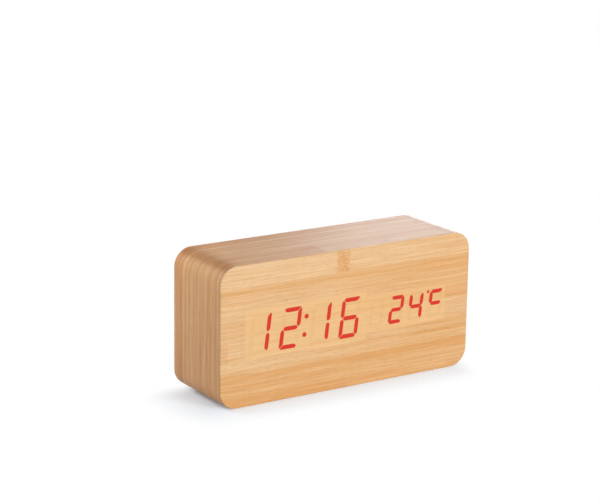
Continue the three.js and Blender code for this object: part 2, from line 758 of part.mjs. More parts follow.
const panel = cutBy(joined([panelPlate, skirt(), bayWithRibs, ...bossSolids]), tabSlits);
addPart(rear, "rear_panel", panel, blackPlastic());

const panelScrew = screw(PANEL_SCREW);
panelScrewPlaces.forEach(([x, z], index) => {
  addPart(rear, `panel_screw_${index + 1}`, panelScrew, steel(), [x, counterboreFloor + SEAT, z]);
});

// Battery door: a lid with ribs, hooked under the panel at one end and held by a folded tongue
function doorTongue() {
  const outer = TONGUE_BEND + TONGUE;
  const legOuter = doorLeft + TONGUE_INSET;
  const fold = legOuter + outer;
  const foldY = doorInner - TONGUE_DEPTH + outer;
  const nibTop = panelInner - REST;
  const profile = new THREE.Shape();
  profile.moveTo(fold + outer, doorInner + SEAT);
  profile.absarc(fold, foldY, outer, 0, -Math.PI, true);
  profile.lineTo(legOuter, nibTop - NIB_HEIGHT);
  profile.lineTo(legOuter - NIB, nibTop - NIB_HEIGHT / 2);
  profile.lineTo(legOuter - NIB, nibTop);
  profile.lineTo(legOuter, nibTop);
  profile.lineTo(legOuter, panelOuter - REST);
  profile.lineTo(legOuter + TONGUE, panelOuter - REST);
  profile.absarc(fold, foldY, TONGUE_BEND, Math.PI, 2 * Math.PI, false);
  profile.lineTo(fold + TONGUE_BEND, doorInner + SEAT);
  const geometry = new THREE.ExtrudeGeometry(profile, {
    depth: TONGUE_WIDTH,
    bevelEnabled: false,
    curveSegments: 4,
  });
  return solidOf(geometry.translate(0, 0, -TONGUE_WIDTH / 2));
}

const doorHalfHeight = openingHalfHeight - DOOR_FIT;
const doorMiddle = (doorLeft + doorRight) / 2;
const doorPlate = prism(
  roundedRect(doorRight - doorLeft, 2 * doorHalfHeight, DOOR_RADIUS, doorMiddle),
  doorInner,
  panelOuter,
);
const tongueNotch = block(
  [doorLeft - CUT, doorLeft + TONGUE_INSET + TONGUE + 2 * TONGUE_BEND - SEAT],
  [doorInner - CUT, panelOuter + CUT],
  about(0, TONGUE_WIDTH + 2 * FIT),
);
const doorHooks = [-1, 1].map((side) => {
  const height = about((side * HOOK_SPACING) / 2, HOOK_WIDTH);
  const hookBack = panelInner - REST;
  const root = block([doorRight - HOOK_ROOT, doorRight], [hookBack - HOOK, doorInner + SEAT], height);
  const reach = [doorRight - HOOK_ROOT, doorRight + HOOK_REACH];
  return root.add(block(reach, [hookBack - HOOK, hookBack], height));
});
const doorRibs = [-1, 0, 1].map((step) =>
  block(
    [bayLeft + CRADLE_SETBACK, bayRight - CRADLE_SETBACK],
    [doorInner - DOOR_RIB_HEIGHT, doorInner + SEAT],
    about(step * cellPitch, DOOR_RIB),
  ),
);
const door = joined([doorPlate.subtract(tongueNotch), doorTongue(), ...doorHooks, ...doorRibs]);
addPart(rear, "battery_door", door, blackPlastic());

// Batteries: cells that point right and left by turns, with their nub at the head of the profile
const cellRadius = CELL_DIAMETER / 2;
const cellSolid = turned(
  [
    [0, 0],
    [cellRadius - CELL_EDGE, 0],
    [cellRadius, CELL_EDGE],
    [cellRadius, CELL_LENGTH - NUB_LENGTH - CELL_EDGE],
    [cellRadius - CELL_EDGE, CELL_LENGTH - NUB_LENGTH],
    [NUB_DIAMETER / 2, CELL_LENGTH - NUB_LENGTH],
    [NUB_DIAMETER / 2, CELL_LENGTH],
    [0, CELL_LENGTH],
  ],
  16,
);
COLUMNS.forEach((_, index) => {
  const pointsRight = index % 2 === 0;
  const behindNub = contactDepth + DIMPLE + REST + CELL_LENGTH;
  const x = pointsRight ? bayRight - behindNub : bayLeft + behindNub;
  const place = [x, cellY, cellZ(index)];
  const cell = addPart(rear, `battery_cell_${index + 1}`, cellSolid, cellJacket(), place);
  cell.rotation.z = pointsRight ? -Math.PI / 2 : Math.PI / 2;
});

// Contacts: sheet steel with a dimple for a nub or a conical spring for a flat end, facing along X
class ConicalHelix extends THREE.Curve {
  getPoint(t, target = new THREE.Vector3()) {
    const angle = 2 * Math.PI * SPRING_TURNS * t;
    const radius = THREE.MathUtils.lerp(SPRING_BASE, SPRING_TIP, t) / 2;
    const x = t * (SPRING_LENGTH - SPRING_WIRE + SEAT);
    return target.set(x, radius * Math.cos(angle), radius * Math.sin(angle));
  }
}

const CURL_STEPS = 8;
const springCurve = new ConicalHelix();
const springPoints = springCurve.getSpacedPoints(SPRING_TURNS * 6 * CURL_STEPS);
const springGap = Math.min(
  ...springPoints.flatMap((point, index) =>
    springPoints.slice(index + 3 * CURL_STEPS).map((other) => point.distanceTo(other) - SPRING_WIRE),
  ),
);
console.log(`least gap between the turns of a battery spring: ${springGap.toFixed(2)} mm`);
const springSolid = tubeAlong(springCurve, SPRING_WIRE, SPRING_TURNS * CURL_STEPS, 5);

const contactFront = bayFloor + FIT - cellY;
const contactBack = doorInner - CONTACT_DROP - cellY;
const springAt = (z) => springSolid.translate([CONTACT + SPRING_WIRE / 2 - SEAT, 0, z]);
function dimpleAt(z) {
  const radius = DIMPLE_DIAMETER / 2;
  const profile = [
    [0, -SEAT],
    [radius, -SEAT],
    [radius, 0],
    [radius / 2, DIMPLE],
    [0, DIMPLE],
  ];
  const geometry = new THREE.LatheGeometry(profile.map(([r, y]) => new THREE.Vector2(r, y)), 12);
  return solidOf(geometry.rotateZ(-Math.PI / 2).translate(CONTACT, 0, z));
}
const contactSheet = (height) => block([0, CONTACT], [contactFront, contactBack], about(0, height));
const solderTab = block(
  [0, CONTACT],
  [bayFront - SOLDER_TAB_REACH - cellY, contactFront + SEAT],
  about(0, SOLDER_TAB),
);
const single = contactSheet(CONTACT_WIDTH);
const bridge = contactSheet(CONTACT_WIDTH + cellPitch);
const bridgeContact = (springSide) =>
  joined([bridge, springAt((springSide * cellPitch) / 2), dimpleAt((-springSide * cellPitch) / 2)]);

function addContact(name, solid, atRight, z) {
  const x = atRight ? bayRight - CONTACT_BACK : bayLeft + CONTACT_BACK;
  const mesh = addPart(rear, name, solid, nickel(), [x, cellY, z]);
  mesh.rotation.y = atRight ? Math.PI : 0;
}
addContact("positive_contact", joined([single, solderTab, dimpleAt(0)]), true, cellZ(0));
addContact("negative_contact", joined([single, solderTab, springAt(0)]), true, cellZ(3));
addContact("bridge_contact_1", bridgeContact(1), true, 0);
addContact("bridge_contact_2", bridgeContact(-1), false, (cellZ(0) + cellZ(1)) / 2);
addContact("bridge_contact_3", bridgeContact(-1), false, (cellZ(2) + cellZ(3)) / 2);

// Battery leads, along the bay's floor from a solder tab to a pad on the control board
function addLead(name, tabZ, padZ, material) {
  const underBay = bayFront - FIT - LEAD_DIAMETER / 2;
  const padX = controlX + controlBoardWidth / 2 - PAD_INSET;
  const corner = bayLeft - BAY_WALL;
  const route = new THREE.CatmullRomCurve3([
    new THREE.Vector3(bayRight - contactDepth - FIT, underBay, tabZ),
    new THREE.Vector3(bayRight - CRADLE_SETBACK, underBay, tabZ),
    new THREE.Vector3((bayLeft + bayRight) / 2, underBay, (tabZ + padZ) / 2),
    new THREE.Vector3(corner, underBay, padZ),
    new THREE.Vector3((corner + padX) / 2, underBay - LEAD_DIAMETER, padZ),
    new THREE.Vector3(padX, (underBay + controlBoardFront) / 2, padZ),
    new THREE.Vector3(padX, controlBoardFront - FIT, padZ),
  ]);
  addPart(rear, name, tubeAlong(route, LEAD_DIAMETER, 24, 6), material);
}
addLead("positive_lead", cellZ(0), -PAD_Z, redPlastic());
addLead("negative_lead", cellZ(3), PAD_Z, blackPlastic());

// Controls, on a board that hangs from the panel's bosses
const controls = new THREE.Group();
controls.position.set(controlX, 0, midZ);
clock.add(controls);
const controlBoard = cutBy(
  prism(
    roundedRect(controlBoardWidth, CONTROL_BOARD_HEIGHT, BOARD_RADIUS),
    controlBoardFront,
    controlBoardBack,
  ),
  bosses.map(({ sx, sz, pinned }) => {
    const hole = (pinned ? PIN_DIAMETER : BOARD_SCREW.shank) + 2 * HOLE_FIT;
    return rod(hole, controlBoardFront - CUT, controlBoardBack + CUT, sx * bossX, sz * BOSS_Z, 8);
  }),
);
addPart(controls, "control_board", controlBoard, greenBoard());
bosses
  .filter(({ pinned }) => !pinned)
  .forEach(({ sx, sz }, index) => {
    const place = [sx * bossX, controlBoardFront - SEAT, sz * BOSS_Z];
    const mesh = addPart(controls, `board_screw_${index + 1}`, boardScrew, steel(), place);
    mesh.rotation.x = Math.PI;
  });

// Push buttons: a cap in the panel, on the stem of a switch on the board
const onControlBoard = controlBoardBack + SEAT;
const switchTop = onControlBoard + SWITCH_HEIGHT;
const stemTop = switchTop + STEM_PROUD;
const stemWell = switchTop - STEM_SUNK - BUTTON_TRAVEL - FIT;
const switchBody = block(
  about(0, SWITCH_WIDTH),
  [onControlBoard, switchTop],
  about(0, SWITCH_WIDTH),
).subtract(rod(STEM_DIAMETER + 2 * HOLE_FIT, stemWell, switchTop + CUT));
const stem = rod(STEM_DIAMETER, switchTop - STEM_SUNK, stemTop);
const capTop = panelOuter + BUTTON_PROUD;
const flangeTop = panelInner - REST;
const capRadius = BUTTON_DIAMETER / 2;
const cap = turned(
  [
    [0, stemTop + SEAT],
    [capRadius - BUTTON_EDGE, stemTop + SEAT],
    [capRadius - BUTTON_EDGE, flangeTop - BUTTON_FLANGE_HEIGHT],
    [BUTTON_FLANGE / 2, flangeTop - BUTTON_FLANGE_HEIGHT],
    [BUTTON_FLANGE / 2, flangeTop],
    [capRadius, flangeTop],
    [capRadius, capTop - BUTTON_EDGE],
    [capRadius - BUTTON_EDGE, capTop],
    [0, capTop],
  ],
  16,
);
buttonNames.forEach((name, index) => {
  const place = [(index - 1) * buttonPitch, 0, BUTTON_RISE];
  addPart(controls, `${name}_switch`, switchBody, blackPlastic(), place);
  addPart(controls, `${name}_stem`, stem, blackPlastic(), place);
  addPart(controls, `${name}_button`, cap, blackPlastic(), place);
});

// Power jack: a housing whose nose stands in the panel's hole, with a centre pin
const jackMouth = panelOuter - FIT;
const jackShoulder = panelInner - FIT;
const jackFloor = onControlBoard + JACK_FLOOR;
const jackHousing = cutBy(
  block(about(0, JACK_WIDTH), [onControlBoard, jackShoulder], about(0, JACK_WIDTH)).add(
    rod(JACK_NOSE, jackShoulder - SEAT, jackMouth, 0, 0, 16),
  ),
  [
    rod(JACK_BORE, jackFloor, jackMouth + CUT, 0, 0, 16),
    rod(JACK_PIN + 2 * HOLE_FIT, onControlBoard - CUT, jackFloor + CUT, 0, 0, 12),
  ],
);
const jackPin = turned(
  [
    [0, onControlBoard],
    [JACK_PIN / 2, onControlBoard],
    [JACK_PIN / 2, jackMouth - JACK_PIN_DEPTH - JACK_PIN / 2],
    [JACK_PIN / 4, jackMouth - JACK_PIN_DEPTH],
    [0, jackMouth - JACK_PIN_DEPTH],
  ],
  12,
);
addPart(controls, "power_jack", jackHousing, blackPlastic(), [jackX, 0, JACK_Z]);
addPart(controls, "power_jack_pin", jackPin, nickel(), [jackX, 0, JACK_Z]);

// Buzzer and temperature sensor, behind their vents
const buzzerTop = onControlBoard + BUZZER_HEIGHT;
const buzzer = rod(BUZZER_DIAMETER, onControlBoard, buzzerTop, 0, 0, 20).subtract(
  rod(BUZZER_HOLE, buzzerTop - BUZZER_HOLE, buzzerTop + CUT, 0, 0, 12),
);
addPart(controls, "alarm_buzzer", buzzer, blackPlastic(), [buzzerX, 0, BUZZER_Z]);

const beadY = onControlBoard + SENSOR_HEIGHT - SENSOR_BEAD / 2;
const bead = new THREE.SphereGeometry(SENSOR_BEAD / 2, 10, 6).translate(0, beadY, 0);
const sensorWires = [-1, 1].map((side) =>
  rod(SENSOR_WIRE, onControlBoard, beadY, (side * SENSOR_WIRE_PITCH) / 2, 0, 6),
);
addPart(controls, "temperature_sensor", joined([solidOf(bead), ...sensorWires]), blackPlastic(), [
  sensorX,
  0,
  SENSOR_Z,
]);

// Ribbon cable in its two sockets: a row of wires side by side, bent in an S from board to board
const ribbonWidth = RIBBON_WIRES * RIBBON_PITCH;
const mouth = { width: ribbonWidth + 2 * FIT, height: RIBBON_PITCH + 2 * FIT };
function socket(back, front) {
  const inward = Math.sign(back - front);
  const mouthDepths = [front + inward * SOCKET_MOUTH, front - inward * CUT];
  return block(about(0, SOCKET_WIDTH), sorted(back, front), about(0, SOCKET_HEIGHT)).subtract(
    block(about(0, mouth.width), sorted(...mouthDepths), about(0, mouth.height)),
  );
}
const controlSocketBack = controlBoardFront - SEAT;
const controlSocketFront = controlSocketBack - SOCKET_DEPTH;
const displaySocketFront = onDisplayBoard + SOCKET_DEPTH;
const ribbonLow = -SOCKET_DROP;
const ribbonHigh = DISPLAY_RISE + SOCKET_RISE;
addPart(controls, "control_socket", socket(controlSocketBack, controlSocketFront), whitePlastic(), [
  0,
  0,
  ribbonLow,
]);
addPart(controls, "display_socket", socket(onDisplayBoard, displaySocketFront), whitePlastic(), [
  0,
  0,
  ribbonHigh,
]);

function ribbonSection() {
  const section = new THREE.Shape();
  const half = ribbonWidth / 2;
  const [crest, waist] = [RIBBON_PITCH / 2, RIBBON_WAIST / 2];
  section.moveTo(-waist, -half);
  for (const side of [1, -1]) {
    for (let wire = 0; wire < RIBBON_WIRES; wire += 1) {
      const start = -half + wire * RIBBON_PITCH;
      section.lineTo(side * waist, side * start);
      section.lineTo(side * crest, side * (start + RIBBON_PITCH / 2));
    }
    section.lineTo(side * waist, side * half);
  }
  return section;
}
const ribbonAt = (y, z) => new THREE.Vector3(0, y, z);
const ribbonEnds = [
  ribbonAt(controlSocketFront + SOCKET_MOUTH - FIT, ribbonLow),
  ribbonAt(controlSocketFront, ribbonLow),
  ribbonAt(displaySocketFront, ribbonHigh),
  ribbonAt(displaySocketFront - SOCKET_MOUTH + FIT, ribbonHigh),
];
const bendReach = new THREE.Vector3(0, (controlSocketFront - displaySocketFront) * RIBBON_EASE, 0);
const ribbonPath = new THREE.CurvePath();
ribbonPath.add(new THREE.LineCurve3(ribbonEnds[0], ribbonEnds[1]));
ribbonPath.add(
  new THREE.CubicBezierCurve3(
    ribbonEnds[1],
    ribbonEnds[1].clone().sub(bendReach),
    ribbonEnds[2].clone().add(bendReach),
    ribbonEnds[2],
  ),
);
ribbonPath.add(new THREE.LineCurve3(ribbonEnds[2], ribbonEnds[3]));
const ribbon = new THREE.ExtrudeGeometry(ribbonSection(), { steps: 11, extrudePath: ribbonPath });
addPart(controls, "ribbon_cable", solidOf(ribbon), finish(0x8d9196, 0.6));

export default clock;
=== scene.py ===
import bpy
import numpy as np
from mathutils import Matrix, Vector


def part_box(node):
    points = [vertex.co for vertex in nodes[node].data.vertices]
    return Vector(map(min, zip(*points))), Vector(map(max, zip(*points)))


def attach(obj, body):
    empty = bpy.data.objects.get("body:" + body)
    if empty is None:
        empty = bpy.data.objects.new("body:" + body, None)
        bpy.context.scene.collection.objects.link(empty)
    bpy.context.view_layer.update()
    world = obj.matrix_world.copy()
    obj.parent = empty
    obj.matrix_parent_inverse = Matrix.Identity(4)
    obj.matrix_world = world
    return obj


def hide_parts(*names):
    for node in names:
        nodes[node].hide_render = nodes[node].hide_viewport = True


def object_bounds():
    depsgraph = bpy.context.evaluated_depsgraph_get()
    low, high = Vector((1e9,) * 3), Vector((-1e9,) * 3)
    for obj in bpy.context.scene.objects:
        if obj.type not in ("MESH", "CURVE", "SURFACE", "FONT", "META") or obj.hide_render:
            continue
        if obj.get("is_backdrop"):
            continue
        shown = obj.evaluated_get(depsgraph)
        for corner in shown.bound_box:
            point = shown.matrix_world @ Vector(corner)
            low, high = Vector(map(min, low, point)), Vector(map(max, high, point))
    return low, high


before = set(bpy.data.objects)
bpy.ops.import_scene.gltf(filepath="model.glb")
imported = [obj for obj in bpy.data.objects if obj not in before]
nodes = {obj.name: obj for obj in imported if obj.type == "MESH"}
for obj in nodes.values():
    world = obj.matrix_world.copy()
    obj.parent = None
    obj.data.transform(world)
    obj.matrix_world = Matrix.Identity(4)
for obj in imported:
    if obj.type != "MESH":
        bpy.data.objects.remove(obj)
cad_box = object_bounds()

# Camera
# A long lens about a metre away, in front of the left end and a little above the clock.
# Its angles, distance and aim come from fitting the case's outline to the photograph.
azimuth, elevation, roll = np.radians([-33.4356, 14.6282, 0.8355])
distance, aim_right, aim_up = 1035.1, 12.14, -29.44
focal_pixels, image_width, sensor_width = 2028.39, 600, 36
case_middle = np.array([0, 0, 36])
backwards = np.array([
    np.sin(azimuth) * np.cos(elevation),
    -np.cos(azimuth) * np.cos(elevation),
    np.sin(elevation),
])
level = np.cross(-backwards, [0, 0, 1])
level /= np.linalg.norm(level)
upright = np.cross(level, -backwards)
rightwards = np.cos(roll) * level + np.sin(roll) * upright
upwards = np.cos(roll) * upright - np.sin(roll) * level
viewpoint = case_middle + backwards * distance - rightwards * aim_right - upwards * aim_up
camera_data = bpy.data.cameras.new("camera")
camera_data.sensor_width = sensor_width
camera_data.lens = sensor_width * focal_pixels / image_width
camera_data.clip_start = 0.01
camera = bpy.data.objects.new("camera", camera_data)
camera.matrix_world = Matrix([
    [*axes, at / 1000] for *axes, at in zip(rightwards, upwards, backwards, viewpoint)
] + [[0, 0, 0, 1]])
scene = bpy.context.scene
scene.collection.objects.link(camera)
scene.camera = camera
scene.view_settings.view_transform = "Standard"

# Studio: a white paper sweep under soft boxes
# The room is brighter round the horizon than overhead. A large box stands almost in front, two small ones
# light the left end, and one low behind the right end lays a sheen along the top. The paper keeps the shadow.


def feed(node, inputs):
    """Gives a node's inputs their values. A socket is linked from, and so is a node's first output in use."""
    for key, value in inputs.items():
        if isinstance(value, bpy.types.Node):
            value = next(output for output in value.outputs if output.enabled)
        if isinstance(value, bpy.types.NodeSocket):
            node.id_data.links.new(value, node.inputs[key])
        else:
            node.inputs[key].default_value = value


def add(tree, kind, inputs=None, **settings):
    """Adds a shader node with its settings and feeds its inputs."""
    made = tree.nodes.new("ShaderNode" + kind)
    for name, value in settings.items():
        setattr(made, name, value)
    feed(made, inputs or {})
    return made


def seen_directly(tree):
    """1 for rays from the camera and for those that metal or glass throw back or let through."""
    path = add(tree, "LightPath")
    either = add(tree, "Math", {
        0: path.outputs["Is Camera Ray"], 1: path.outputs["Is Glossy Ray"],
    }, operation="MAXIMUM")
    return add(tree, "Math", {0: either, 1: path.outputs["Is Transmission Ray"]}, operation="MAXIMUM")


def soft_box(name, at, aim, size, watts):
    """A square area lamp at one point, facing another."""
    lamp = bpy.data.lights.new(name, "AREA")
    lamp.size = size
    lamp.energy = watts
    box = bpy.data.objects.new(name, lamp)
    box.location = at
    box.rotation_euler = (Vector(aim) - Vector(at)).to_track_quat("-Z", "Y").to_euler()
    box.visible_camera = False
    scene.collection.objects.link(box)
    return box


white = (1, 1, 1, 1)
horizon_light, overhead_light = 0.78, 0.09
world = bpy.data.worlds.new("studio")
scene.world = world
world.use_nodes = True
tree = world.node_tree
tree.nodes.clear()
skywards = add(tree, "SeparateXYZ", {"Vector": add(tree, "TexCoord").outputs["Generated"]}).outputs["Z"]
room_light = add(tree, "Background", {"Color": white, "Strength": add(tree, "MapRange", {
    "Value": skywards, "To Min": horizon_light, "To Max": overhead_light,
})})
# Seen directly, the room is white up to about 15 degrees and dimmer overhead.
room_white = add(tree, "Background", {"Color": white, "Strength": add(tree, "MapRange", {
    "Value": skywards, "From Min": 0.26, "From Max": 0.5, "To Min": 1.0, "To Max": 0.3,
})})
add(tree, "OutputWorld", {
    "Surface": add(tree, "MixShader", {0: seen_directly(tree), 1: room_light, 2: room_white}),
})
soft_box("key_box", at=(0.4, -1.65, 0.52), aim=(0, 0, 0.036), size=1.0, watts=19.2)
soft_box("left_box", at=(-1.3, -0.2, 0.5), aim=(-0.07, 0, 0.05), size=0.5, watts=0.25)
soft_box("corner_box", at=(-0.175, 0.08, 0.165), aim=(-0.075, 0, 0.06), size=0.1, watts=0.125)
sheen = soft_box("top_sheen_box", at=(0.335, 0.285, 0.165), aim=(0.06, 0, 0.072), size=0.26, watts=0.92)
sheen.visible_diffuse = False
sheen.data.color = (1.0, 1.0, 1.06)

floor_reach, floor_drop = 4.0, 0.00005
floor_mesh = bpy.data.meshes.new("floor")
floor_mesh.from_pydata(
    [(x * floor_reach, y * floor_reach, -floor_drop) for x, y in ((-1, -1), (1, -1), (1, 1), (-1, 1))],
    [],
    [(0, 1, 2, 3)],
)
floor = bpy.data.objects.new("floor", floor_mesh)
scene.collection.objects.link(floor)
paper = bpy.data.materials.new("white sweep paper")
paper.use_nodes = True
tree = paper.node_tree
tree.nodes.clear()
spot = add(tree, "TexCoord").outputs["Object"]
# The shadow fades out past two corners, over a length of its own along x and y.
past_corners = []
for corner, fade in (
    (np.array([-0.076, -0.011, 0]), np.array([-0.027, -0.037, -1])),  # at the left and in front
    (np.array([0.062, 0.007, 0]), np.array([0.017, 0.018, 1])),  # at the right and behind
):
    past_corner = add(tree, "VectorMath", {
        0: spot, 1: 1 / fade, 2: -corner / fade,
    }, operation="MULTIPLY_ADD")
    past_corners.append(add(tree, "VectorMath", {0: past_corner, 1: (0, 0, 0)}, operation="MAXIMUM"))
past_shadow = add(tree, "VectorMath", dict(enumerate(past_corners)), operation="ADD")
far = add(tree, "MapRange", {
    "Value": add(tree, "VectorMath", {0: past_shadow}, operation="LENGTH"),
}, interpolation_type="SMOOTHSTEP")
# A tint takes back the warm light that the bamboo throws on the paper, less of it beside the left end.
before_front = add(tree, "MapRange", {
    "Value": add(tree, "SeparateXYZ", {"Vector": spot}).outputs["X"], "From Min": -0.085, "From Max": -0.055,
})
tint = add(tree, "Mix", {
    "Factor": before_front, "A": (0.97, 1.07, 1.17, 1), "B": (0.95, 1.11, 1.3, 1),
}, data_type="RGBA")
# A little light of its own lifts the shadow, and the paper throws less back on the clock than it shows.
shadow_lift, thrown_back = 0.1, 0.58
shaded = add(tree, "AddShader", {
    0: add(tree, "BsdfDiffuse", {"Color": tint}),
    1: add(tree, "Emission", {"Color": white, "Strength": shadow_lift}),
})
blank = add(tree, "Emission", {"Color": white, "Strength": 1.0})
lighting = add(tree, "BsdfDiffuse", {"Color": (thrown_back, thrown_back, thrown_back, 1)})
add(tree, "OutputMaterial", {"Surface": add(tree, "MixShader", {
    0: seen_directly(tree), 1: lighting, 2: add(tree, "MixShader", {0: far, 1: shaded, 2: blank}),
})})
floor_mesh.materials.append(paper)
floor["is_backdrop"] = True

# Case core: medium-density fibreboard, routed from the back
# It shows in the gap round the rear panel and, when the door is open, beside the bay: a dull tan board of
# pressed fibre with a fine speckle.
speck = 0.8  # coarser than real fibre, so that it shows


def linear(code):
    """An sRGB hex colour as linear red, green, blue and 1."""
    part = np.array([int(code[i:i + 2], 16) for i in (1, 3, 5)]) / 255
    return (*np.where(part <= 0.04045, part / 12.92, ((part + 0.055) / 1.055) ** 2.4), 1)


def new_material(name):
    """An empty material of that name, its tree, and its Principled shader joined to the output."""
    material = bpy.data.materials.new(name)
    material.use_nodes = True
    tree = material.node_tree
    tree.nodes.clear()
    shader = add(tree, "BsdfPrincipled")
    add(tree, "OutputMaterial", {"Surface": shader})
    return material, tree, shader


def dress(material, *names):
    """Gives CAD nodes a finish."""
    for name in names:
        nodes[name].data.materials.clear()
        nodes[name].data.materials.append(material)


fibreboard, tree, shader = new_material("routed fibreboard")
speckle = add(tree, "TexNoise", {
    "Vector": add(tree, "TexCoord").outputs["Object"], "Scale": 1000 / speck, "Detail": 3.0,
})
pressed_fibre = add(tree, "Mix", {
    "Factor": speckle, "A": linear("#8F6C45"), "B": linear("#BB9668"),
}, data_type="RGBA")
feed(shader, {"Base Color": pressed_fibre, "Roughness": 0.9})
dress(fibreboard, "case_core")

# Front veneer: one flat sheet of laminated bamboo, lacquered
# Strips about 22 mm wide lie across the clock, with fine fibres along them, a growth ring of the cane in the
# top strip and a piece of another at the left edge. The LEDs shine through it, so their windows look paler.
corner_radius = 9.6
lamp_relief = 0.02  # the lit figures lie this far in front of the sheet
front_edge, glue_thickness = 0.25, 0.08  # the sanded edge, and the glue behind the sheet


def extent(node):
    """A CAD node's lowest and highest corners, in mm."""
    return np.array(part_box(node)) * 1000


front_low, front_high = extent("front_veneer")
half_width, _, half_height = (front_high - front_low) / 2
middle_z = (front_high[2] + front_low[2]) / 2


def outline(half_width, half_height, radius, first=0, steps=16):
    """Points round rounded rectangles about the origin, one row for each: from the middles of the corners'
    arcs, by the radius times the cosine and sine of an angle that turns a quarter in each corner."""
    sizes = np.broadcast_arrays(*map(np.atleast_1d, (half_width, half_height, radius)))
    half_width, half_height, radius = (size[:, None] for size in sizes)
    corner = np.repeat((np.arange(4) + first) % 4, steps + 1)
    angle = corner * np.pi / 2 + np.tile(np.linspace(0, np.pi / 2, steps + 1), 4)
    x = np.where((corner == 0) | (corner == 3), 1, -1) * (half_width - radius) + radius * np.cos(angle)
    z = np.where(corner < 2, 1, -1) * (half_height - radius) + radius * np.sin(angle)
    return x, z


def set_back(x, z, depths):
    """Outlines round the middle of the case as points [row, column], each row at its own depth."""
    return np.stack([x, np.broadcast_to(depths[:, None], x.shape), z + middle_z], -1)


def quarter(steps=4):
    """How far a rounded edge has gone along and across, from 0 to 1, over a quarter of a turn."""
    turn = np.linspace(0, np.pi / 2, steps + 1)
    return np.sin(turn), 1 - np.cos(turn)


def skin(name, grids, material, body="case", stands_for=(), attributes=None, sharp=40, ring=False):
    """One piece over grids of points [row, column]. Quads join neighbours and the last column to the first.
    The rows close in a ring, or flat faces close both ends. Faces turn outwards by the sign of the enclosed
    volume, and edges that turn by more than the sharp angle, in degrees, stay crisp."""
    points, faces, smooth, start = [], [], [], 0
    for grid in grids:
        rows, columns = grid.shape[:2]
        index = np.arange(rows * columns).reshape(rows, columns)
        upper = np.roll(index, -1, 0) if ring else index[1:]
        lower = index if ring else index[:-1]
        quads = np.stack([lower, np.roll(lower, -1, 1), np.roll(upper, -1, 1), upper], -1).reshape(-1, 4)
        flat = grid.reshape(-1, 3)
        corners = np.concatenate([quads[:, [0, 1, 2]], quads[:, [0, 2, 3]]])
        ends = [] if ring else [index[0, ::-1], index[-1]]
        for end in ends:
            fan = np.stack([np.full(columns - 2, end[0]), end[1:-1], end[2:]], -1)
            corners = np.concatenate([corners, fan])
        a, b, c = flat[corners[:, 0]], flat[corners[:, 1]], flat[corners[:, 2]]
        outwards = 1 if np.sum(a * np.cross(b, c)) > 0 else -1
        faces += (quads[:, ::outwards] + start).tolist()
        faces += [(end[::outwards] + start).tolist() for end in ends]
        smooth += [True] * len(quads) + [False] * len(ends)
        points.append(flat)
        start += len(flat)
    mesh = bpy.data.meshes.new(name)
    mesh.from_pydata((np.concatenate(points) / 1000).tolist(), [], faces)
    mesh.polygons.foreach_set("use_smooth", smooth)
    for key, values in (attributes or {}).items():
        kind, field = ("FLOAT_VECTOR", "vector") if values.ndim > 1 else ("FLOAT", "value")
        mesh.attributes.new(key, kind, "POINT").data.foreach_set(field, values.astype(np.float32).ravel())
    mesh.set_sharp_from_angle(angle=np.radians(sharp))
    mesh.materials.append(material)
    piece = bpy.data.objects.new(name, mesh)
    scene.collection.objects.link(piece)
    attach(piece, body)
    if stands_for:
        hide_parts(*stands_for)
    return piece


def strip_tone(tree, across, points):
    """A tone from 0, pale, to 1, amber, that runs straight between points (mm across the strips, tone)."""
    places, tones = np.array(points).T
    spread = add(tree, "MapRange", {
        "Value": across, "From Min": places[0] / 1000, "From Max": places[-1] / 1000,
    })
    ramp = add(tree, "FloatCurve", {"Value": spread})
    curve = ramp.mapping.curves[0]
    shares = (places - places[0]) / (places[-1] - places[0])
    for share, tone in zip(shares[1:-1], tones[1:-1]):
        curve.points.new(share, tone)
    curve.points[0].location = (0, tones[0])
    curve.points[-1].location = (1, tones[-1])
    for point in curve.points:
        point.handle_type = "VECTOR"
    ramp.mapping.update()
    return ramp


def strip_number(tree, across, glue_lines):
    """How many of the glue lines, in mm across the strips, a point has passed: the sum of a step at each."""
    passed = add(tree, "Math", {0: across, 1: glue_lines[0] / 1000}, operation="GREATER_THAN")
    for line in glue_lines[1:]:
        step = add(tree, "Math", {0: across, 1: line / 1000}, operation="GREATER_THAN")
        passed = add(tree, "Math", {0: passed, 1: step}, operation="ADD")
    return passed


def stretched(tree, along, across, length, width, detail, roughness=0.55):
    """A noise over two lengths in metres, whose marks are about so many mm long and wide."""
    lay = add(tree, "CombineXYZ", {"X": along, "Y": across})
    sized = add(tree, "Mapping", {"Vector": lay, "Scale": (1000 / length, 1000 / width, 1)})
    return add(tree, "TexNoise", {
        "Vector": sized, "Scale": 1.0, "Detail": detail, "Roughness": roughness,
    }, noise_dimensions="2D")


def bamboo_grain(tree, along, across, strip):
    """Bamboo's fibre pattern from two lengths in metres: slow streaks, fine fibres and the darkness of short
    pores, each from a noise that is stretched along the strip. The across length first sways a little, so
    that no line is ruled, and each strip starts elsewhere in the noise."""
    strip_shift, sway_reach = 0.73, 0.0006
    along = add(tree, "Math", {0: strip, 1: strip_shift, 2: along}, operation="MULTIPLY_ADD")
    sway = add(tree, "MapRange", {
        "Value": stretched(tree, along, across, length=60, width=12, detail=1.0),
        "To Min": -sway_reach, "To Max": sway_reach,
    })
    across = add(tree, "Math", {0: across, 1: sway}, operation="ADD")
    streaks = stretched(tree, along, across, length=190, width=2.1, detail=2.0)
    # Real fibres and pores are about 0.2 mm wide. These are coarser, so that they show.
    fibres = stretched(tree, along, across, length=32, width=0.5, detail=2.5)
    pores = add(tree, "MapRange", {
        "Value": stretched(tree, along, across, length=5, width=0.35, detail=1.0),
        "From Min": 0.6, "From Max": 0.76, "To Max": 0.3,
    })
    return streaks, fibres, pores


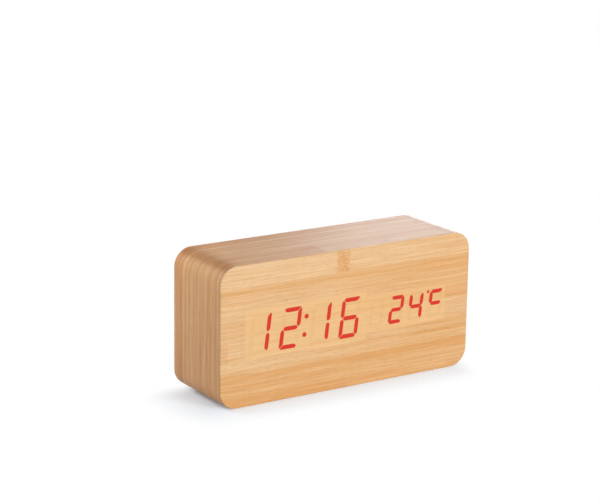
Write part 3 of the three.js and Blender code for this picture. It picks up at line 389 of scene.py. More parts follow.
def cane(tree, tone, streaks, fibres, fibre_tone, fibre_shade, pale, amber):
    """The strips' colour from pale to amber, by the sum of the tone, the streaks and a share of the fibres.
    The colour is then scaled to a little over 1 beside the fibres and as much under 1 on them."""
    tone = add(tree, "Math", {0: streaks, 1: tone}, operation="ADD")
    fibre_change = add(tree, "MapRange", {"Value": fibres, "To Min": -fibre_tone, "To Max": fibre_tone})
    tone = add(tree, "Math", {0: fibre_change, 1: tone}, operation="ADD", use_clamp=True)
    colour = add(tree, "Mix", {"Factor": tone, "A": linear(pale), "B": linear(amber)}, data_type="RGBA")
    shade = add(tree, "MapRange", {"Value": fibres, "To Min": 1 + fibre_shade, "To Max": 1 - fibre_shade})
    return add(tree, "VectorMath", {0: colour, "Scale": shade}, operation="SCALE")


def growth_ring(tree, along, across, at, reach, dark):
    """How dark the dashes are that a cane's joint leaves across a strip: a band about 8 mm wide with ragged
    ends, broken by a noise of short dashes that slant away from its middle on both sides, on the stretch of
    the strip, in mm, that it crosses."""
    ragged_size, ragged_reach, dash_slant = 1.2, 0.001, 0.45
    band_half, band_end = 0.003, 0.0044
    ragged = add(tree, "TexNoise", {
        "W": add(tree, "Math", {0: across, 1: 1000 / ragged_size}, operation="MULTIPLY"),
        "Scale": 1.0, "Detail": 2.0,
    }, noise_dimensions="1D")
    end_moves = add(tree, "MapRange", {
        "Value": ragged, "From Min": 0.3, "From Max": 0.7, "To Min": -ragged_reach, "To Max": ragged_reach,
    })
    off = add(tree, "Math", {0: along, 1: at / 1000}, operation="SUBTRACT")
    off = add(tree, "Math", {0: off, 1: end_moves}, operation="SUBTRACT")
    apart = add(tree, "Math", {0: off}, operation="ABSOLUTE")
    band = add(tree, "MapRange", {
        "Value": apart, "From Min": band_half, "From Max": band_end, "To Min": dark, "To Max": 0.0,
    }, interpolation_type="SMOOTHSTEP")
    slanted = add(tree, "Math", {0: apart, 1: dash_slant, 2: across}, operation="MULTIPLY_ADD")
    dashes = add(tree, "MapRange", {
        "Value": stretched(tree, along, slanted, length=6, width=0.5, detail=1.0, roughness=0.5),
        "From Min": 0.42, "From Max": 0.58, "To Min": 0.25,
    })
    ring = add(tree, "Math", {0: band, 1: dashes}, operation="MULTIPLY")
    for edge, side in zip(reach, ("GREATER_THAN", "LESS_THAN")):
        inside = add(tree, "Math", {0: across, 1: edge / 1000}, operation=side)
        ring = add(tree, "Math", {0: ring, 1: inside}, operation="MULTIPLY")
    return ring


def window_glow(tree, where, node, glow):
    """The glow over a display's window and 0 past it, with an edge a millimetre soft."""
    low, high = extent(node) / 1000
    for axis, key in ((0, "X"), (2, "Z")):
        middle, half = (low[axis] + high[axis]) / 2, (high[axis] - low[axis]) / 2
        off = add(tree, "Math", {0: where.outputs[key], 1: middle}, operation="SUBTRACT")
        inside = add(tree, "MapRange", {
            "Value": add(tree, "Math", {0: off}, operation="ABSOLUTE"),
            "From Min": half - 0.0002, "From Max": half + 0.0008, "To Min": 1.0, "To Max": 0.0,
        })
        glow = add(tree, "Math", {0: inside, 1: glow}, operation="MULTIPLY")
    return glow


def lacquer(tree, shader, fibres, pores, gloss, ior):
    """A satin lacquer over bamboo: its roughness runs between two values with the fibres, and the fibres less
    the pores give it a faint relief."""
    relief = add(tree, "Math", {0: fibres, 1: pores}, operation="SUBTRACT")
    feed(shader, {
        "Roughness": add(tree, "MapRange", {"Value": fibres, "To Min": gloss[0], "To Max": gloss[1]}),
        "IOR": ior,
        "Normal": add(tree, "Bump", {"Strength": 0.12, "Distance": 0.0001, "Height": relief}),
    })


# Bamboo is pale straw with amber strips and a silky fibre. Lit figures redden it and unlit ones grey it.
bamboo, tree, shader = new_material("lacquered bamboo, laminated strips")
where = add(tree, "SeparateXYZ", {"Vector": add(tree, "TexCoord").outputs["Object"]})
along, across = where.outputs["X"], where.outputs["Z"]
streaks, fibres, pores = bamboo_grain(tree, along, across, strip_number(tree, across, [16.6, 38.4, 60.7]))
tone = strip_tone(tree, across, [
    (0, 0.76), (3, 0.86), (4.4, 0.93), (5.0, 0.58), (8, 0.62), (13, 0.7), (14.4, 0.96), (16.4, 0.9),
    (16.7, 0.5), (20, 0.36), (24.4, 0.44), (25.6, 0.5), (26.6, 0.4), (33, 0.34), (38.3, 0.4), (38.6, 0.5),
    (44, 0.4), (49, 0.5), (52, 0.5), (57, 0.58), (58.4, 0.72), (60.4, 0.76), (60.9, 0.26), (66, 0.28),
    (72, 0.22),
])
amber_streaks = strip_tone(tree, across, [  # only towards the right
    (0, 0.0), (17, 0.05), (22.6, 0.35), (24, 0.1), (33, 0.0), (38.2, 0.1), (38.6, 0.45), (40.6, 0.5),
    (42, 0.15), (43.6, 0.5), (45, 0.2), (48.4, 0.35), (49.2, 0.0), (53, 0.15), (54.6, 0.4), (55.4, 0.15),
    (58, 0.25), (60.5, 0.1), (60.9, 0.12), (72, 0.1),
])
towards_right = add(tree, "MapRange", {
    "Value": along, "From Min": -0.05, "From Max": 0.06,
}, interpolation_type="SMOOTHSTEP")
tone = add(tree, "Math", {0: amber_streaks, 1: towards_right, 2: tone}, operation="MULTIPLY_ADD")
streaks = add(tree, "MapRange", {"Value": streaks, "To Min": -0.5, "To Max": 0.5})
wood = cane(
    tree, tone, streaks, fibres, fibre_tone=0.6, fibre_shade=0.1, pale="#F0CA9A", amber="#E5A968",
)
lamp_strength = 0.62
lamp = add(tree, "Attribute", attribute_name="lamp").outputs["Fac"]
rings = [  # place along and the strip's edges, in mm, and how dark
    (-3.9, (60.8, 72), 0.78),
    (-74.5, (24, 34), 0.42),
]
for share, colour in (
    *((growth_ring(tree, along, across, *ring), "#DE964E") for ring in rings),
    (pores, "#B9814A"),
    (window_glow(tree, where, "time_display_shell", glow=0.5), "#F8C888"),
    (window_glow(tree, where, "date_display_shell", glow=0.5), "#F8C888"),
    (add(tree, "Math", {0: lamp, 1: 0.0}, operation="MAXIMUM"), "#5E1000"),
    (add(tree, "Math", {0: lamp, 1: -1.0}, operation="MULTIPLY", use_clamp=True), "#A98A55"),
):
    wood = add(tree, "Mix", {"Factor": share, "A": wood, "B": linear(colour)}, data_type="RGBA")
feed(shader, {
    "Base Color": wood,
    "Emission Color": linear("#F52400"),
    "Emission Strength": add(tree, "Math", {
        0: lamp, 1: lamp_strength,
    }, operation="MULTIPLY", use_clamp=True),
})
lacquer(tree, shader, fibres, pores, gloss=(0.42, 0.58), ior=1.4)

in_turn, across_turn = quarter()
insets = np.concatenate([front_edge * (1 - in_turn), [0]])
sheet_front = front_low[1] + lamp_relief
depths = np.concatenate([sheet_front + front_edge * across_turn, [front_high[1] + glue_thickness]])
x, z = outline(half_width - insets, half_height - insets, corner_radius - insets)
skin("front_sheet", [set_back(x, z, depths)], bamboo, stands_for=["front_veneer"])

# Figures: the LEDs' red light in the surface of the veneer
# Seven-segment cells that lean 7 degrees show 12:16 and 24 degrees C; the cells that are off show faintly.
# Each figure is a thin plate in the sheet whose glow fades over its rim.
slant = np.tan(np.radians(7))


def segment_outlines(height, reach, stroke, gap, sharp, blunt):
    """The seven six-cornered cells of a digit, a to g: mitred bars at the top and bottom, four uprights and a
    pointed middle bar, a gap apart, leaned by adding a share of the height to x. The lean's sharp corners are
    nipped off less than its blunt ones, and turning the digit half round gives it back."""
    half, side, rise = stroke / 2, reach / 2, (height - stroke) / 2
    slip = gap * np.sqrt(0.5)
    edge, tip = side + half - slip, side - slip
    bar = np.array([
        (-edge + blunt, rise + half), (edge - sharp, rise + half),
        (edge - sharp / 2, rise + half - sharp / 2), (side - half - slip, rise - half),
        (-side + half + slip, rise - half), (-edge + blunt / 2, rise + half - blunt / 2),
    ])
    upper_left, upper_right = (np.array([
        (-side - half, rise + half - slip - nip), (-side - half + nip / 2, rise + half - slip - nip / 2),
        (-side + half, rise - half - slip), (-side + half, half + slip), (-side, slip),
        (-side - half, half + slip),
    ]) for nip in (blunt, sharp))
    upper_right = (upper_right * np.array([-1, 1]))[::-1]
    middle = np.array([
        (-tip, 0), (-tip + half, half), (tip - half, half),
        (tip, 0), (tip - half, -half), (-tip + half, -half),
    ])
    cells = np.stack([bar, upper_right, -upper_left, -bar, -upper_right, upper_left, middle])
    cells[..., 0] += cells[..., 1] * slant
    return cells


def swung(before, corner, after, radius, steps=4):
    """Corners of lines between points [..., axis], each swung through a curve that leaves the line before it
    a radius short of the corner and meets the line after it as far on, or a share of the shorter line."""
    most_share = 0.45
    arriving, leaving = corner - before, after - corner
    arriving_length = np.linalg.norm(arriving, axis=-1, keepdims=True)
    leaving_length = np.linalg.norm(leaving, axis=-1, keepdims=True)
    cut = np.minimum(radius, most_share * np.minimum(arriving_length, leaving_length))
    start, end = corner - arriving / arriving_length * cut, corner + leaving / leaving_length * cut
    t = np.linspace(0, 1, steps + 1)[:, None]
    start, bend, end = (spot[..., None, :] for spot in (start, corner, end))
    return (1 - t) ** 2 * start + 2 * t * (1 - t) * bend + t ** 2 * end


def plates(corners, radius, half_stroke, steps_out, depths):
    """A stack of rings for each outline [piece, corner], as grids [ring, point]. Its corners are rounded, and
    a ring's points are moved straight away from the outline's spine: its longest line, half a stroke short at
    both ends."""
    points = swung(np.roll(corners, 1, 1), corners, np.roll(corners, -1, 1), radius)
    points = points.reshape(len(corners), -1, 2)
    middle = corners.mean(1, keepdims=True)
    lengthwise = np.linalg.svd(corners - middle)[2][:, :1]
    reach = np.abs((corners - middle) @ lengthwise.transpose(0, 2, 1)).max(1, keepdims=True)
    reach = np.maximum(reach - np.reshape(half_stroke, (-1, 1, 1)), 0)
    along = (points - middle) @ lengthwise.transpose(0, 2, 1)
    spine = middle + np.clip(along, -reach, reach) * lengthwise
    away = points - spine
    away /= np.linalg.norm(away, axis=-1, keepdims=True)
    lines = points[:, None] + away[:, None] * np.array(steps_out)[:, None, None]
    y = np.broadcast_to(np.array(depths)[:, None], lines.shape[:-1])
    return np.stack([lines[..., 0], y, lines[..., 1]], -1)


def dot(diameter, x, z, sides=6):
    """A round cell as six corners, far enough out for the rounding to leave a circle of the diameter."""
    angle = np.arange(sides) * 2 * np.pi / sides
    out = 0.56 * diameter
    return np.stack([x + z * slant + out * np.cos(angle), z + out * np.sin(angle)], -1)


display_columns = np.array([-1.5, -0.5, 0.5, 1.5])
window_fit, window_margin = 0.3, 0.35
unlit = -0.065
# A reach runs between the middles of the uprights, and a dot is its diameter and its place across and up.
displays = [
    {"name": "time", "height": 21.0, "reach": 9.15, "stroke": 2.35, "gap": 0.15, "sharp": 1.2, "blunt": 1.9,
     "round": 0.7, "shift": -0.75, "last_nudge": 0, "shows": ["bc", "abdeg", "bc", "acdefg"],
     "dots_from": 0, "dots": [(2.65, 0, 4.65), (2.65, 0, -4.65)]},
    {"name": "date", "height": 14.7, "reach": 6.75, "stroke": 2.15, "gap": 0.0, "sharp": 1.5, "blunt": 1.6,
     "round": 0.4, "shift": 0.1, "last_nudge": 0.45, "shows": ["", "abdeg", "bcfg", "afg"],
     "dots_from": display_columns[-1], "dots": [(1.75, -5.2, 6.55)]},
]
cells, strengths, half_strokes, rounds = [], [], [], []
for display in displays:
    (left, right), _, (bottom, top) = extent(f"{display['name']}_display_shell").T
    pitch = (right - left + 2 * window_fit - 2 * window_margin) / len(display_columns)
    middle = np.array([(left + right) / 2 + display["shift"], (bottom + top) / 2])
    digit = segment_outlines(*(
        display[key] for key in ("height", "reach", "stroke", "gap", "sharp", "blunt")
    ))
    for column, shows in zip(display_columns, display["shows"]):
        nudge = display["last_nudge"] if column == display_columns[-1] else 0
        cells.append(digit + middle + np.array([column * pitch + nudge, 0]))
        strengths += [1.0 if letter in shows else unlit for letter in "abcdefg"]
        half_strokes += [display["stroke"] / 2] * 7
        rounds += [display["round"]] * 7
    for diameter, x, z in display["dots"]:
        cells.append(dot(diameter, display["dots_from"] * pitch + x, z)[None] + middle)
        strengths.append(1.0)
        half_strokes.append(diameter)
        rounds.append(diameter)
cells, strengths = np.concatenate(cells), np.array(strengths)
glow_steps = [-0.3, -0.1, 0.06, 0.06]
glow_depths = front_low[1] + np.array([0, 0, 0, 0.1])
glow_shares = np.array([1, 0.85, 0, 0])
figures = plates(cells, np.reshape(rounds, (-1, 1, 1)), half_strokes, glow_steps, glow_depths)
glow = strengths[:, None, None] * np.broadcast_to(glow_shares[:, None], figures.shape[1:3])
skin("lit_figures", figures, bamboo, attributes={"lamp": glow.ravel()})

# Side wrap: one band of bamboo veneer glued round the four sides, butted on the underside
# Its grain runs round the clock, with painted shade over each corner's bend. Strips of redder and paler cane
# lie side by side over the depth. One near the front ends at a joint on top, and glue darkens the front edge.
wrap_low, wrap_high = extent("side_wrap")
veneer, wrap_edge, seam_at, seam_gap = 0.8, 0.06, 20, 0.3
in_turn, across_turn = quarter(3)
front_insets, front_depths = wrap_edge * (1 - in_turn), wrap_low[1] + wrap_edge * across_turn
section_inset = np.concatenate([front_insets, front_insets[::-1], [veneer, veneer]])
section_depth = np.concatenate([
    front_depths, (wrap_low[1] + wrap_high[1]) - front_depths[::-1], [wrap_high[1], wrap_low[1]],
])
x, z = outline(
    half_width - section_inset, half_height - section_inset, corner_radius - section_inset, first=3, steps=24,
)
under = -(half_height - section_inset)[:, None]
seam_left, seam_right = (np.full_like(under, seam_at + side * seam_gap / 2) for side in (-1, 1))
x = np.concatenate([seam_right, x, seam_left], 1)
z = np.concatenate([under, z, under], 1)
band = set_back(x, z, section_depth).transpose(1, 0, 2)
outside = band[:, len(front_insets)]
round_the_case = np.concatenate([[0], np.cumsum(np.linalg.norm(np.diff(outside, axis=0), axis=-1))])
# The grain's own coordinates: metres round the case and back from the front, and 1 for a sheet that is bent.
grain = np.stack([
    np.broadcast_to(round_the_case[:, None], band.shape[:2]) / 1000,
    (band[..., 1] - wrap_low[1]) / 1000,
    np.ones(band.shape[:2]),
], -1)

# The same bamboo as in front, a little redder and silkier.
wrap_bamboo, tree, shader = new_material("lacquered bamboo, wrapped")
where = add(tree, "SeparateXYZ", {"Vector": add(tree, "Attribute", attribute_name="grain").outputs["Vector"]})
along, across = where.outputs["X"], where.outputs["Y"]
streaks, fibres, pores = bamboo_grain(
    tree, along, across, strip_number(tree, across, [7.0, 14.7, 33.0, 37.6]),
)
tone = strip_tone(tree, across, [
    (0, 0.5), (1.6, 0.4), (4, 0.46), (7, 0.5), (9, 0.58), (11.6, 0.57), (13.6, 0.44), (14.6, 0.53),
    (15.2, 0.36), (16.6, 0.29), (18.6, 0.38), (19.8, 0.46), (23.6, 0.36), (27, 0.41), (28.6, 0.51),
    (30, 0.44), (31.6, 0.55), (32.8, 0.48), (33.4, 0.33), (35, 0.34), (36.6, 0.53), (38.4, 0.66),
    (40.6, 0.57), (42.6, 0.42), (43.2, 0.45),
])
joint_x, joint_strip, joint_fade = -12.5, 14.6, 25
redder_before, paler_past = 0.36, -0.4
top_right = np.argmax(outside[:, 2] > 2 * half_height - 1e-6)
joint_at = round_the_case[top_right] + outside[top_right, 0] - joint_x
past_joint = add(tree, "Math", {0: along, 1: joint_at / 1000}, operation="LESS_THAN")
in_strip = add(tree, "Math", {0: across, 1: joint_strip / 1000}, operation="LESS_THAN")
redder_end = add(tree, "MapRange", {
    "Value": along, "From Min": (joint_at + joint_fade) / 1000, "From Max": joint_at / 1000,
    "To Max": redder_before,
})
strip_change = add(tree, "Math", {0: past_joint, 1: paler_past, 2: redder_end}, operation="MULTIPLY_ADD")
tone = add(tree, "Math", {0: strip_change, 1: in_strip, 2: tone}, operation="MULTIPLY_ADD")

# Painted shade over the bends: it comes up over the last of the flat and goes again past the middle of the
# bend.
most_painted_shade, painted_shade_tone, painted_shade_darkening = 0.8, 0.2, 0.5
flat_half = half_width - corner_radius
bend_starts, bend_shade_peaks, bend_shade_fades, bend_ends = (flat_half + np.array([-7.5, 4.8, 4.9, 7.9])) / 1000
on_case = add(tree, "SeparateXYZ", {"Vector": add(tree, "TexCoord").outputs["Object"]})
from_middle = add(tree, "Math", {0: on_case.outputs["X"]}, operation="ABSOLUTE")
shade_rising = add(tree, "MapRange", {
    "Value": from_middle, "From Min": bend_starts, "From Max": bend_shade_peaks, "To Max": most_painted_shade,
}, interpolation_type="SMOOTHSTEP")
shade_falling = add(tree, "MapRange", {
    "Value": from_middle, "From Min": bend_shade_fades, "From Max": bend_ends, "To Min": 1.0, "To Max": 0.0,
}, interpolation_type="SMOOTHSTEP")
painted_bend_shade = add(tree, "Math", {0: shade_rising, 1: shade_falling}, operation="MULTIPLY")
painted_bend_shade = add(tree, "Math", {0: painted_bend_shade, 1: where.outputs["Z"]}, operation="MULTIPLY")
tone = add(tree, "Math", {0: painted_bend_shade, 1: painted_shade_tone, 2: tone}, operation="MULTIPLY_ADD")
streaks = add(tree, "MapRange", {
    "Value": streaks, "From Min": 0.3, "From Max": 0.7, "To Min": -0.32, "To Max": 0.32,
})
wood = cane(
    tree, tone, streaks, fibres, fibre_tone=0.65, fibre_shade=0.12, pale="#EDC18C", amber="#D9925A",
)
glue_seen, glue_ends, glue_dark = 0.0003, 0.0007, 0.3
glued_edge = add(tree, "MapRange", {
    "Value": across, "From Min": glue_seen, "From Max": glue_ends, "To Min": glue_dark, "To Max": 0.0,
})
for share, colour in (
    (pores, "#A66C3C"),
    # The bends' painted shade also darkens the colour towards brown.
    (add(tree, "Math", {0: painted_bend_shade, 1: painted_shade_darkening}, operation="MULTIPLY"), "#9A6034"),
    (glued_edge, "#7A4A28"),
):
    wood = add(tree, "Mix", {"Factor": share, "A": wood, "B": linear(colour)}, data_type="RGBA")
feed(shader, {"Base Color": wood})
lacquer(tree, shader, fibres, pores, gloss=(0.4, 0.56), ior=1.35)
side_band = skin(
    "side_band", [band], wrap_bamboo,
    stands_for=["side_wrap"], attributes={"grain": grain.reshape(-1, 3)},
)
side_band.modifiers.new("even normals", "WEIGHTED_NORMAL").keep_sharp = True

# Rear veneer: a frame of the same bamboo, glued to the back of the case
# Its strips lie across as they do on the front. Its opening leaves a narrow gap round the rear panel.
rear_low, rear_high = extent("rear_veneer")
panel_low, panel_high = extent("rear_panel")
panel_gap, opening_radius, rear_edge = 0.3, 6.0, 0.25
grain_offset, strip_share = 300, 0.6  # where in the wrap's grain the frame is cut, and how far it is narrowed
in_turn, across_turn = quarter()
insets, falls = rear_edge * (1 - in_turn), rear_edge * across_turn
outer, inner = np.concatenate([[0], insets[::-1]]), np.concatenate([insets, [0]])
opening = (panel_high - panel_low) / 2 + panel_gap
x, z = outline(
    np.concatenate([half_width - outer, opening[0] + inner]),
    np.concatenate([half_height - outer, opening[2] + inner]),
    np.concatenate([corner_radius - outer, opening_radius + inner]),
)
depths = np.concatenate([[rear_low[1]], rear_high[1] - falls[::-1], rear_high[1] - falls, [rear_low[1]]])
rear_ring = set_back(x, z, depths)
grain = np.stack([
    rear_ring[..., 0] + grain_offset, rear_ring[..., 2] * strip_share, np.zeros(x.shape),
], -1) / 1000
skin(
    "rear_frame", [rear_ring], wrap_bamboo,
    stands_for=["rear_veneer"], attributes={"grain": grain.reshape(-1, 3)}, ring=True,
)

# Display: a board of LED chips behind two reflector shells
# The shells are moulded in white ABS, and milky resin is cast into their cells. The board is green glass
# laminate, and its chip, crystal, capacitor and socket are soldered to its back.


def moulded(name, tones, mottle, grain, roughness, relief):
    """A moulded plastic: its tone drifts between two colours over a mottle length, and the grain that the
    mould was etched with gives it relief and an uneven gloss. Lengths are in mm, and the grain is coarser
    than real, so that it shows."""
    gloss_change = 0.1
    material, tree, shader = new_material(name)
    place = add(tree, "TexCoord").outputs["Object"]
    drift, etched = (
        add(tree, "TexNoise", {"Vector": place, "Scale": 1000 / size, "Detail": 3.0})
        for size in (mottle, grain)
    )
    feed(shader, {
        "Base Color": add(tree, "Mix", {
            "Factor": drift, "A": linear(tones[0]), "B": linear(tones[1]),
        }, data_type="RGBA"),
        "Roughness": add(tree, "MapRange", {
            "Value": etched, "To Min": roughness - gloss_change, "To Max": roughness + gloss_change,
        }),
        "Normal": add(tree, "Bump", {"Strength": relief, "Distance": grain / 4000, "Height": etched}),
        "IOR": 1.54,
    })
    return material


def metal(name, tones, grain, roughness):
    """A bare metal: its tone and its gloss vary together with the marks of rolling or plating, whose size is
    in mm."""
    smoother, rougher = roughness - 0.1, roughness + 0.12
    material, tree, shader = new_material(name)
    marks = add(tree, "TexNoise", {
        "Vector": add(tree, "TexCoord").outputs["Object"], "Scale": 1000 / grain, "Detail": 4.0,
    })
    feed(shader, {
        "Base Color": add(tree, "Mix", {
            "Factor": marks, "A": linear(tones[0]), "B": linear(tones[1]),
        }, data_type="RGBA"),
        "Roughness": add(tree, "MapRange", {"Value": marks, "To Min": smoother, "To Max": rougher}),
        "Metallic": 1.0,
    })
    return material


def past(tree, axis, edge, way="GREATER_THAN"):
    """1 on the part of a piece that lies past a place in mm on one axis."""
    place = add(tree, "SeparateXYZ", {"Vector": add(tree, "TexCoord").outputs["Object"]})
    return add(tree, "Math", {0: place.outputs[axis], 1: edge / 1000}, operation=way)


def recolour(material, part, colour, bare_metal=False):
    """Lays a second colour over a part of a moulded piece, or makes that part bare metal."""
    shader = material.node_tree.nodes["Principled BSDF"]
    feed(shader, {"Base Color": add(material.node_tree, "Mix", {
        "Factor": part, "A": shader.inputs["Base Color"].links[0].from_socket, "B": linear(colour),
    }, data_type="RGBA")})
    if bare_metal:
        feed(shader, {"Metallic": part})


# White ABS is bright and satin and throws the LEDs' light forwards. Resin is smoother and lets a little pink
# through. Nylon is waxy and off-white, and the drawn cans are bright with faint marks of the tool.
white_abs = moulded(
    "white ABS, moulded", ("#E9E7E0", "#F4F2EC"), mottle=6, grain=0.3, roughness=0.45, relief=0.1,
)
milky_resin = moulded(
    "milky epoxy resin, cast", ("#EFD9D2", "#F6E8E2"), mottle=2, grain=0.8, roughness=0.25, relief=0.03,
)
nylon = moulded(
    "natural nylon, moulded", ("#E4DFD0", "#EFEBDF"), mottle=3, grain=0.3, roughness=0.4, relief=0.08,
)
can_steel = metal("tinned steel can, drawn", ("#C4C3BE", "#DCDBD6"), grain=0.6, roughness=0.3)
can_aluminium = metal("aluminium can, drawn", ("#B9BCBF", "#D6D8DA"), grain=0.8, roughness=0.35)
dress(white_abs, "time_display_shell", "date_display_shell")
dress(milky_resin, "time_display_resin", "date_display_resin")
dress(nylon, "display_socket")
dress(can_steel, "timing_crystal")
dress(can_aluminium, "supply_capacitor")

# Solder mask is a glossy green film with paler tracks under it. The sawn edges show the yellowish laminate,
# and the LED chips have cream bodies.
laminate, tree, shader = new_material("glass laminate, green solder mask")
track_length, track_pitch, track_width = 7.0, 2.2, 0.18
led_seat = -15.5
track = add(tree, "TexBrick", {
    "Vector": add(tree, "Mapping", {
        "Vector": add(tree, "TexCoord").outputs["Object"],
        "Rotation": (np.pi / 2, 0, 0), "Scale": (1000, 1000, 1000),
    }),
    "Color1": linear("#1D5A36"), "Color2": linear("#22633C"), "Mortar": linear("#3A8A57"),
    "Scale": 1.0, "Brick Width": track_length, "Row Height": track_pitch, "Mortar Size": track_width,
})
facing = add(tree, "SeparateXYZ", {"Vector": add(tree, "NewGeometry").outputs["Normal"]}).outputs["Y"]
sawn_edge = add(tree, "Math", {
    0: add(tree, "Math", {0: facing}, operation="ABSOLUTE"), 1: 0.5,
}, operation="LESS_THAN")
board_tone = track
for share, colour in ((sawn_edge, "#A79B63"), (past(tree, "Y", led_seat, "LESS_THAN"), "#E8DFC4")):
    board_tone = add(tree, "Mix", {"Factor": share, "A": board_tone, "B": linear(colour)}, data_type="RGBA")
feed(shader, {
    "Base Color": board_tone,
    "Roughness": add(tree, "MapRange", {"Value": track.outputs["Fac"], "To Min": 0.32, "To Max": 0.45}),
})
dress(laminate, "display_board")

# The chip is dull black with two rows of bright legs.
chip_epoxy = moulded(
    "black epoxy, transfer moulded", ("#1B1B1C", "#272728"), mottle=1.5, grain=0.2, roughness=0.6, relief=0.1,
)
chip_low, chip_high = extent("controller_chip")
chip_leg = 1.4
tree = chip_epoxy.node_tree
on_legs = add(tree, "Math", {
    0: past(tree, "Z", chip_low[2] + chip_leg, "LESS_THAN"), 1: past(tree, "Z", chip_high[2] - chip_leg),
}, operation="MAXIMUM")
recolour(chip_epoxy, on_legs, "#CFCFCB", bare_metal=True)
dress(chip_epoxy, "controller_chip")

# Rear panel: one black ABS moulding that fills the back
# It holds the battery bay, the bosses, the vents and the holes for the buttons and the plug. Its outside is
# dull with an etched grain, its edges are a little rounded, and raised signs in grey foil mark the buttons.
black_abs = moulded(
    "black ABS, moulded with an etched grain", ("#161617", "#212122"),
    mottle=9, grain=0.45, roughness=0.5, relief=0.3,
)
moulded_edge = 0.2


def soften(node, width):
    """Rounds the edges of a moulding in three steps: its triangles are joined, the flat ones merged to whole
    faces, and every edge that turns by more than 35 degrees is cut twice over the width, in mm."""
    moulding = nodes[node]
    moulding.modifiers.new("joined triangles", "WELD").merge_threshold = 1e-6
    whole = moulding.modifiers.new("whole faces", "DECIMATE")
    whole.decimate_type = "DISSOLVE"
    whole.angle_limit = np.radians(1)
    rounded = moulding.modifiers.new("rounded edges", "BEVEL")
    rounded.width = width / 1000
    rounded.segments = 2
    rounded.angle_limit = np.radians(35)
    rounded.use_clamp_overlap = True
    rounded.harden_normals = True


dress(black_abs, "rear_panel")
soften("rear_panel", moulded_edge)

sign_height, sign_size, sign_above, sign_round = 0.18, 1.5, 7.2, 0.3
# A raised form in four rings, from its top down into the moulding: mm out, and shares of its height.
raised_steps, raised_shares = [-0.25, -0.05, 0, 0], np.array([1, 0.9, 0.4, -0.6])
sign_depths = panel_high[1] + sign_height * raised_shares
keys = ["down", "up", "set"]
key_middles = {key: extent(f"{key}_button").mean(0) for key in keys}
above = {key: middle[[0, 2]] + np.array([0, sign_above]) for key, middle in key_middles.items()}
corner_turns = np.radians([90, 210, 330])
triangle = sign_size * np.stack([np.cos(corner_turns), np.sin(corner_turns)], -1)
arrows = np.stack([triangle * np.array([1, -1]) + above["down"], triangle + above["up"]])
bar_half = np.array([1.6, 0.45])
rectangle = np.array([(1, 1), (-1, 1), (-1, -1), (1, -1)])
bar = rectangle * bar_half + above["set"]
raised_arrows = plates(arrows, sign_round, sign_size, raised_steps, sign_depths)
raised_bar = plates(bar[None], sign_round, bar_half[1], raised_steps, sign_depths)
foiled_abs = moulded(
    "ABS signs, hot foiled grey", ("#7E8183", "#94979A"), mottle=1.5, grain=0.2, roughness=0.45, relief=0.1,
)
skin("key_signs", [*raised_arrows, *raised_bar], foiled_abs)

# Screws: thread-forming steel with pan heads and cross recesses, zinc plated
# Four hold the panel from the back, four hold the display board and two the control board. Zinc is a cool
# grey with a cloudy gloss.
zinc = metal("zinc plated steel", ("#A9ABAC", "#CDCFD0"), grain=0.5, roughness=0.32)
thread_pitch, thread_depth, tip_length, tip_share = 1.0, 0.25, 1.2, 0.35
thread_rows, head_rows = 8, 30  # for each turn, and from the rim to the middle
cross_half, cross_reach, cross_depth = 0.2, 0.68, 0.7  # shares of the head's radius and height
cross_wall, cross_end = 0.15, 0.5  # mm over which the recess sinks


def smooth_step(value):
    """Runs from 0 to 1 as the value does, and flattens at both ends: three times its square less twice its
    cube."""
    value = np.clip(value, 0, 1)
    return value ** 2 * (3 - 2 * value)


def screw(node, faces, head_radius, head_height, shank_radius, columns=64):
    """A turned surface along y. The shank's radius falls by the thread's depth with the cosine of the turn
    less the angle round, and tapers at the tip. The head is a superellipse, sunk where its cross is narrow
    and short enough."""
    low, high = extent(node)
    shank_length = high[1] - low[1] - head_height
    turn = np.linspace(0, 2 * np.pi, columns, endpoint=False)
    down = np.arange(shank_length, 0, -thread_pitch / thread_rows)[:, None]
    thread = thread_depth * (0.5 + 0.5 * np.cos(2 * np.pi * down / thread_pitch - turn))
    taper = np.clip(tip_share + (1 - tip_share) * (shank_length - down) / tip_length, 0, 1)
    shank_radii = (shank_radius - thread) * taper
    rise = np.linspace(0, np.pi / 2, head_rows)[:-1, None]
    head_radii = np.broadcast_to(head_radius * np.cos(rise), (len(rise), columns))
    narrow, long = np.sort(np.abs([head_radii * np.cos(turn), head_radii * np.sin(turn)]), 0)
    cross = smooth_step((cross_half * head_radius - narrow) / cross_wall)
    cross = cross * smooth_step((cross_reach * head_radius - long) / cross_end)
    head_heights = head_height * np.sqrt(np.sin(rise)) - cross_depth * head_height * cross
    radii = np.concatenate([shank_radii, head_radii])
    heights = np.concatenate([np.broadcast_to(-down, shank_radii.shape), head_heights])
    seat = high[1] - head_height if faces > 0 else low[1] + head_height
    middle = (low + high) / 2
    return np.stack([
        middle[0] + radii * np.cos(turn), seat + faces * heights, middle[2] + radii * np.sin(turn),
    ], -1)


screws = [  # how many, which way the head faces, the head's radius and height, and the shank's radius
    ("panel_screw", 4, 1, 2.4, 0.9, 1.3),
    ("display_screw", 4, 1, 2.0, 1.2, 1.1),
    ("board_screw", 2, -1, 2.0, 1.2, 1.1),
]
for kind, count, *sizes in screws:
    for number in range(1, count + 1):
        node = f"{kind}_{number}"
        skin(f"{node}_turned", [screw(node, *sizes)], zinc, stands_for=[node])

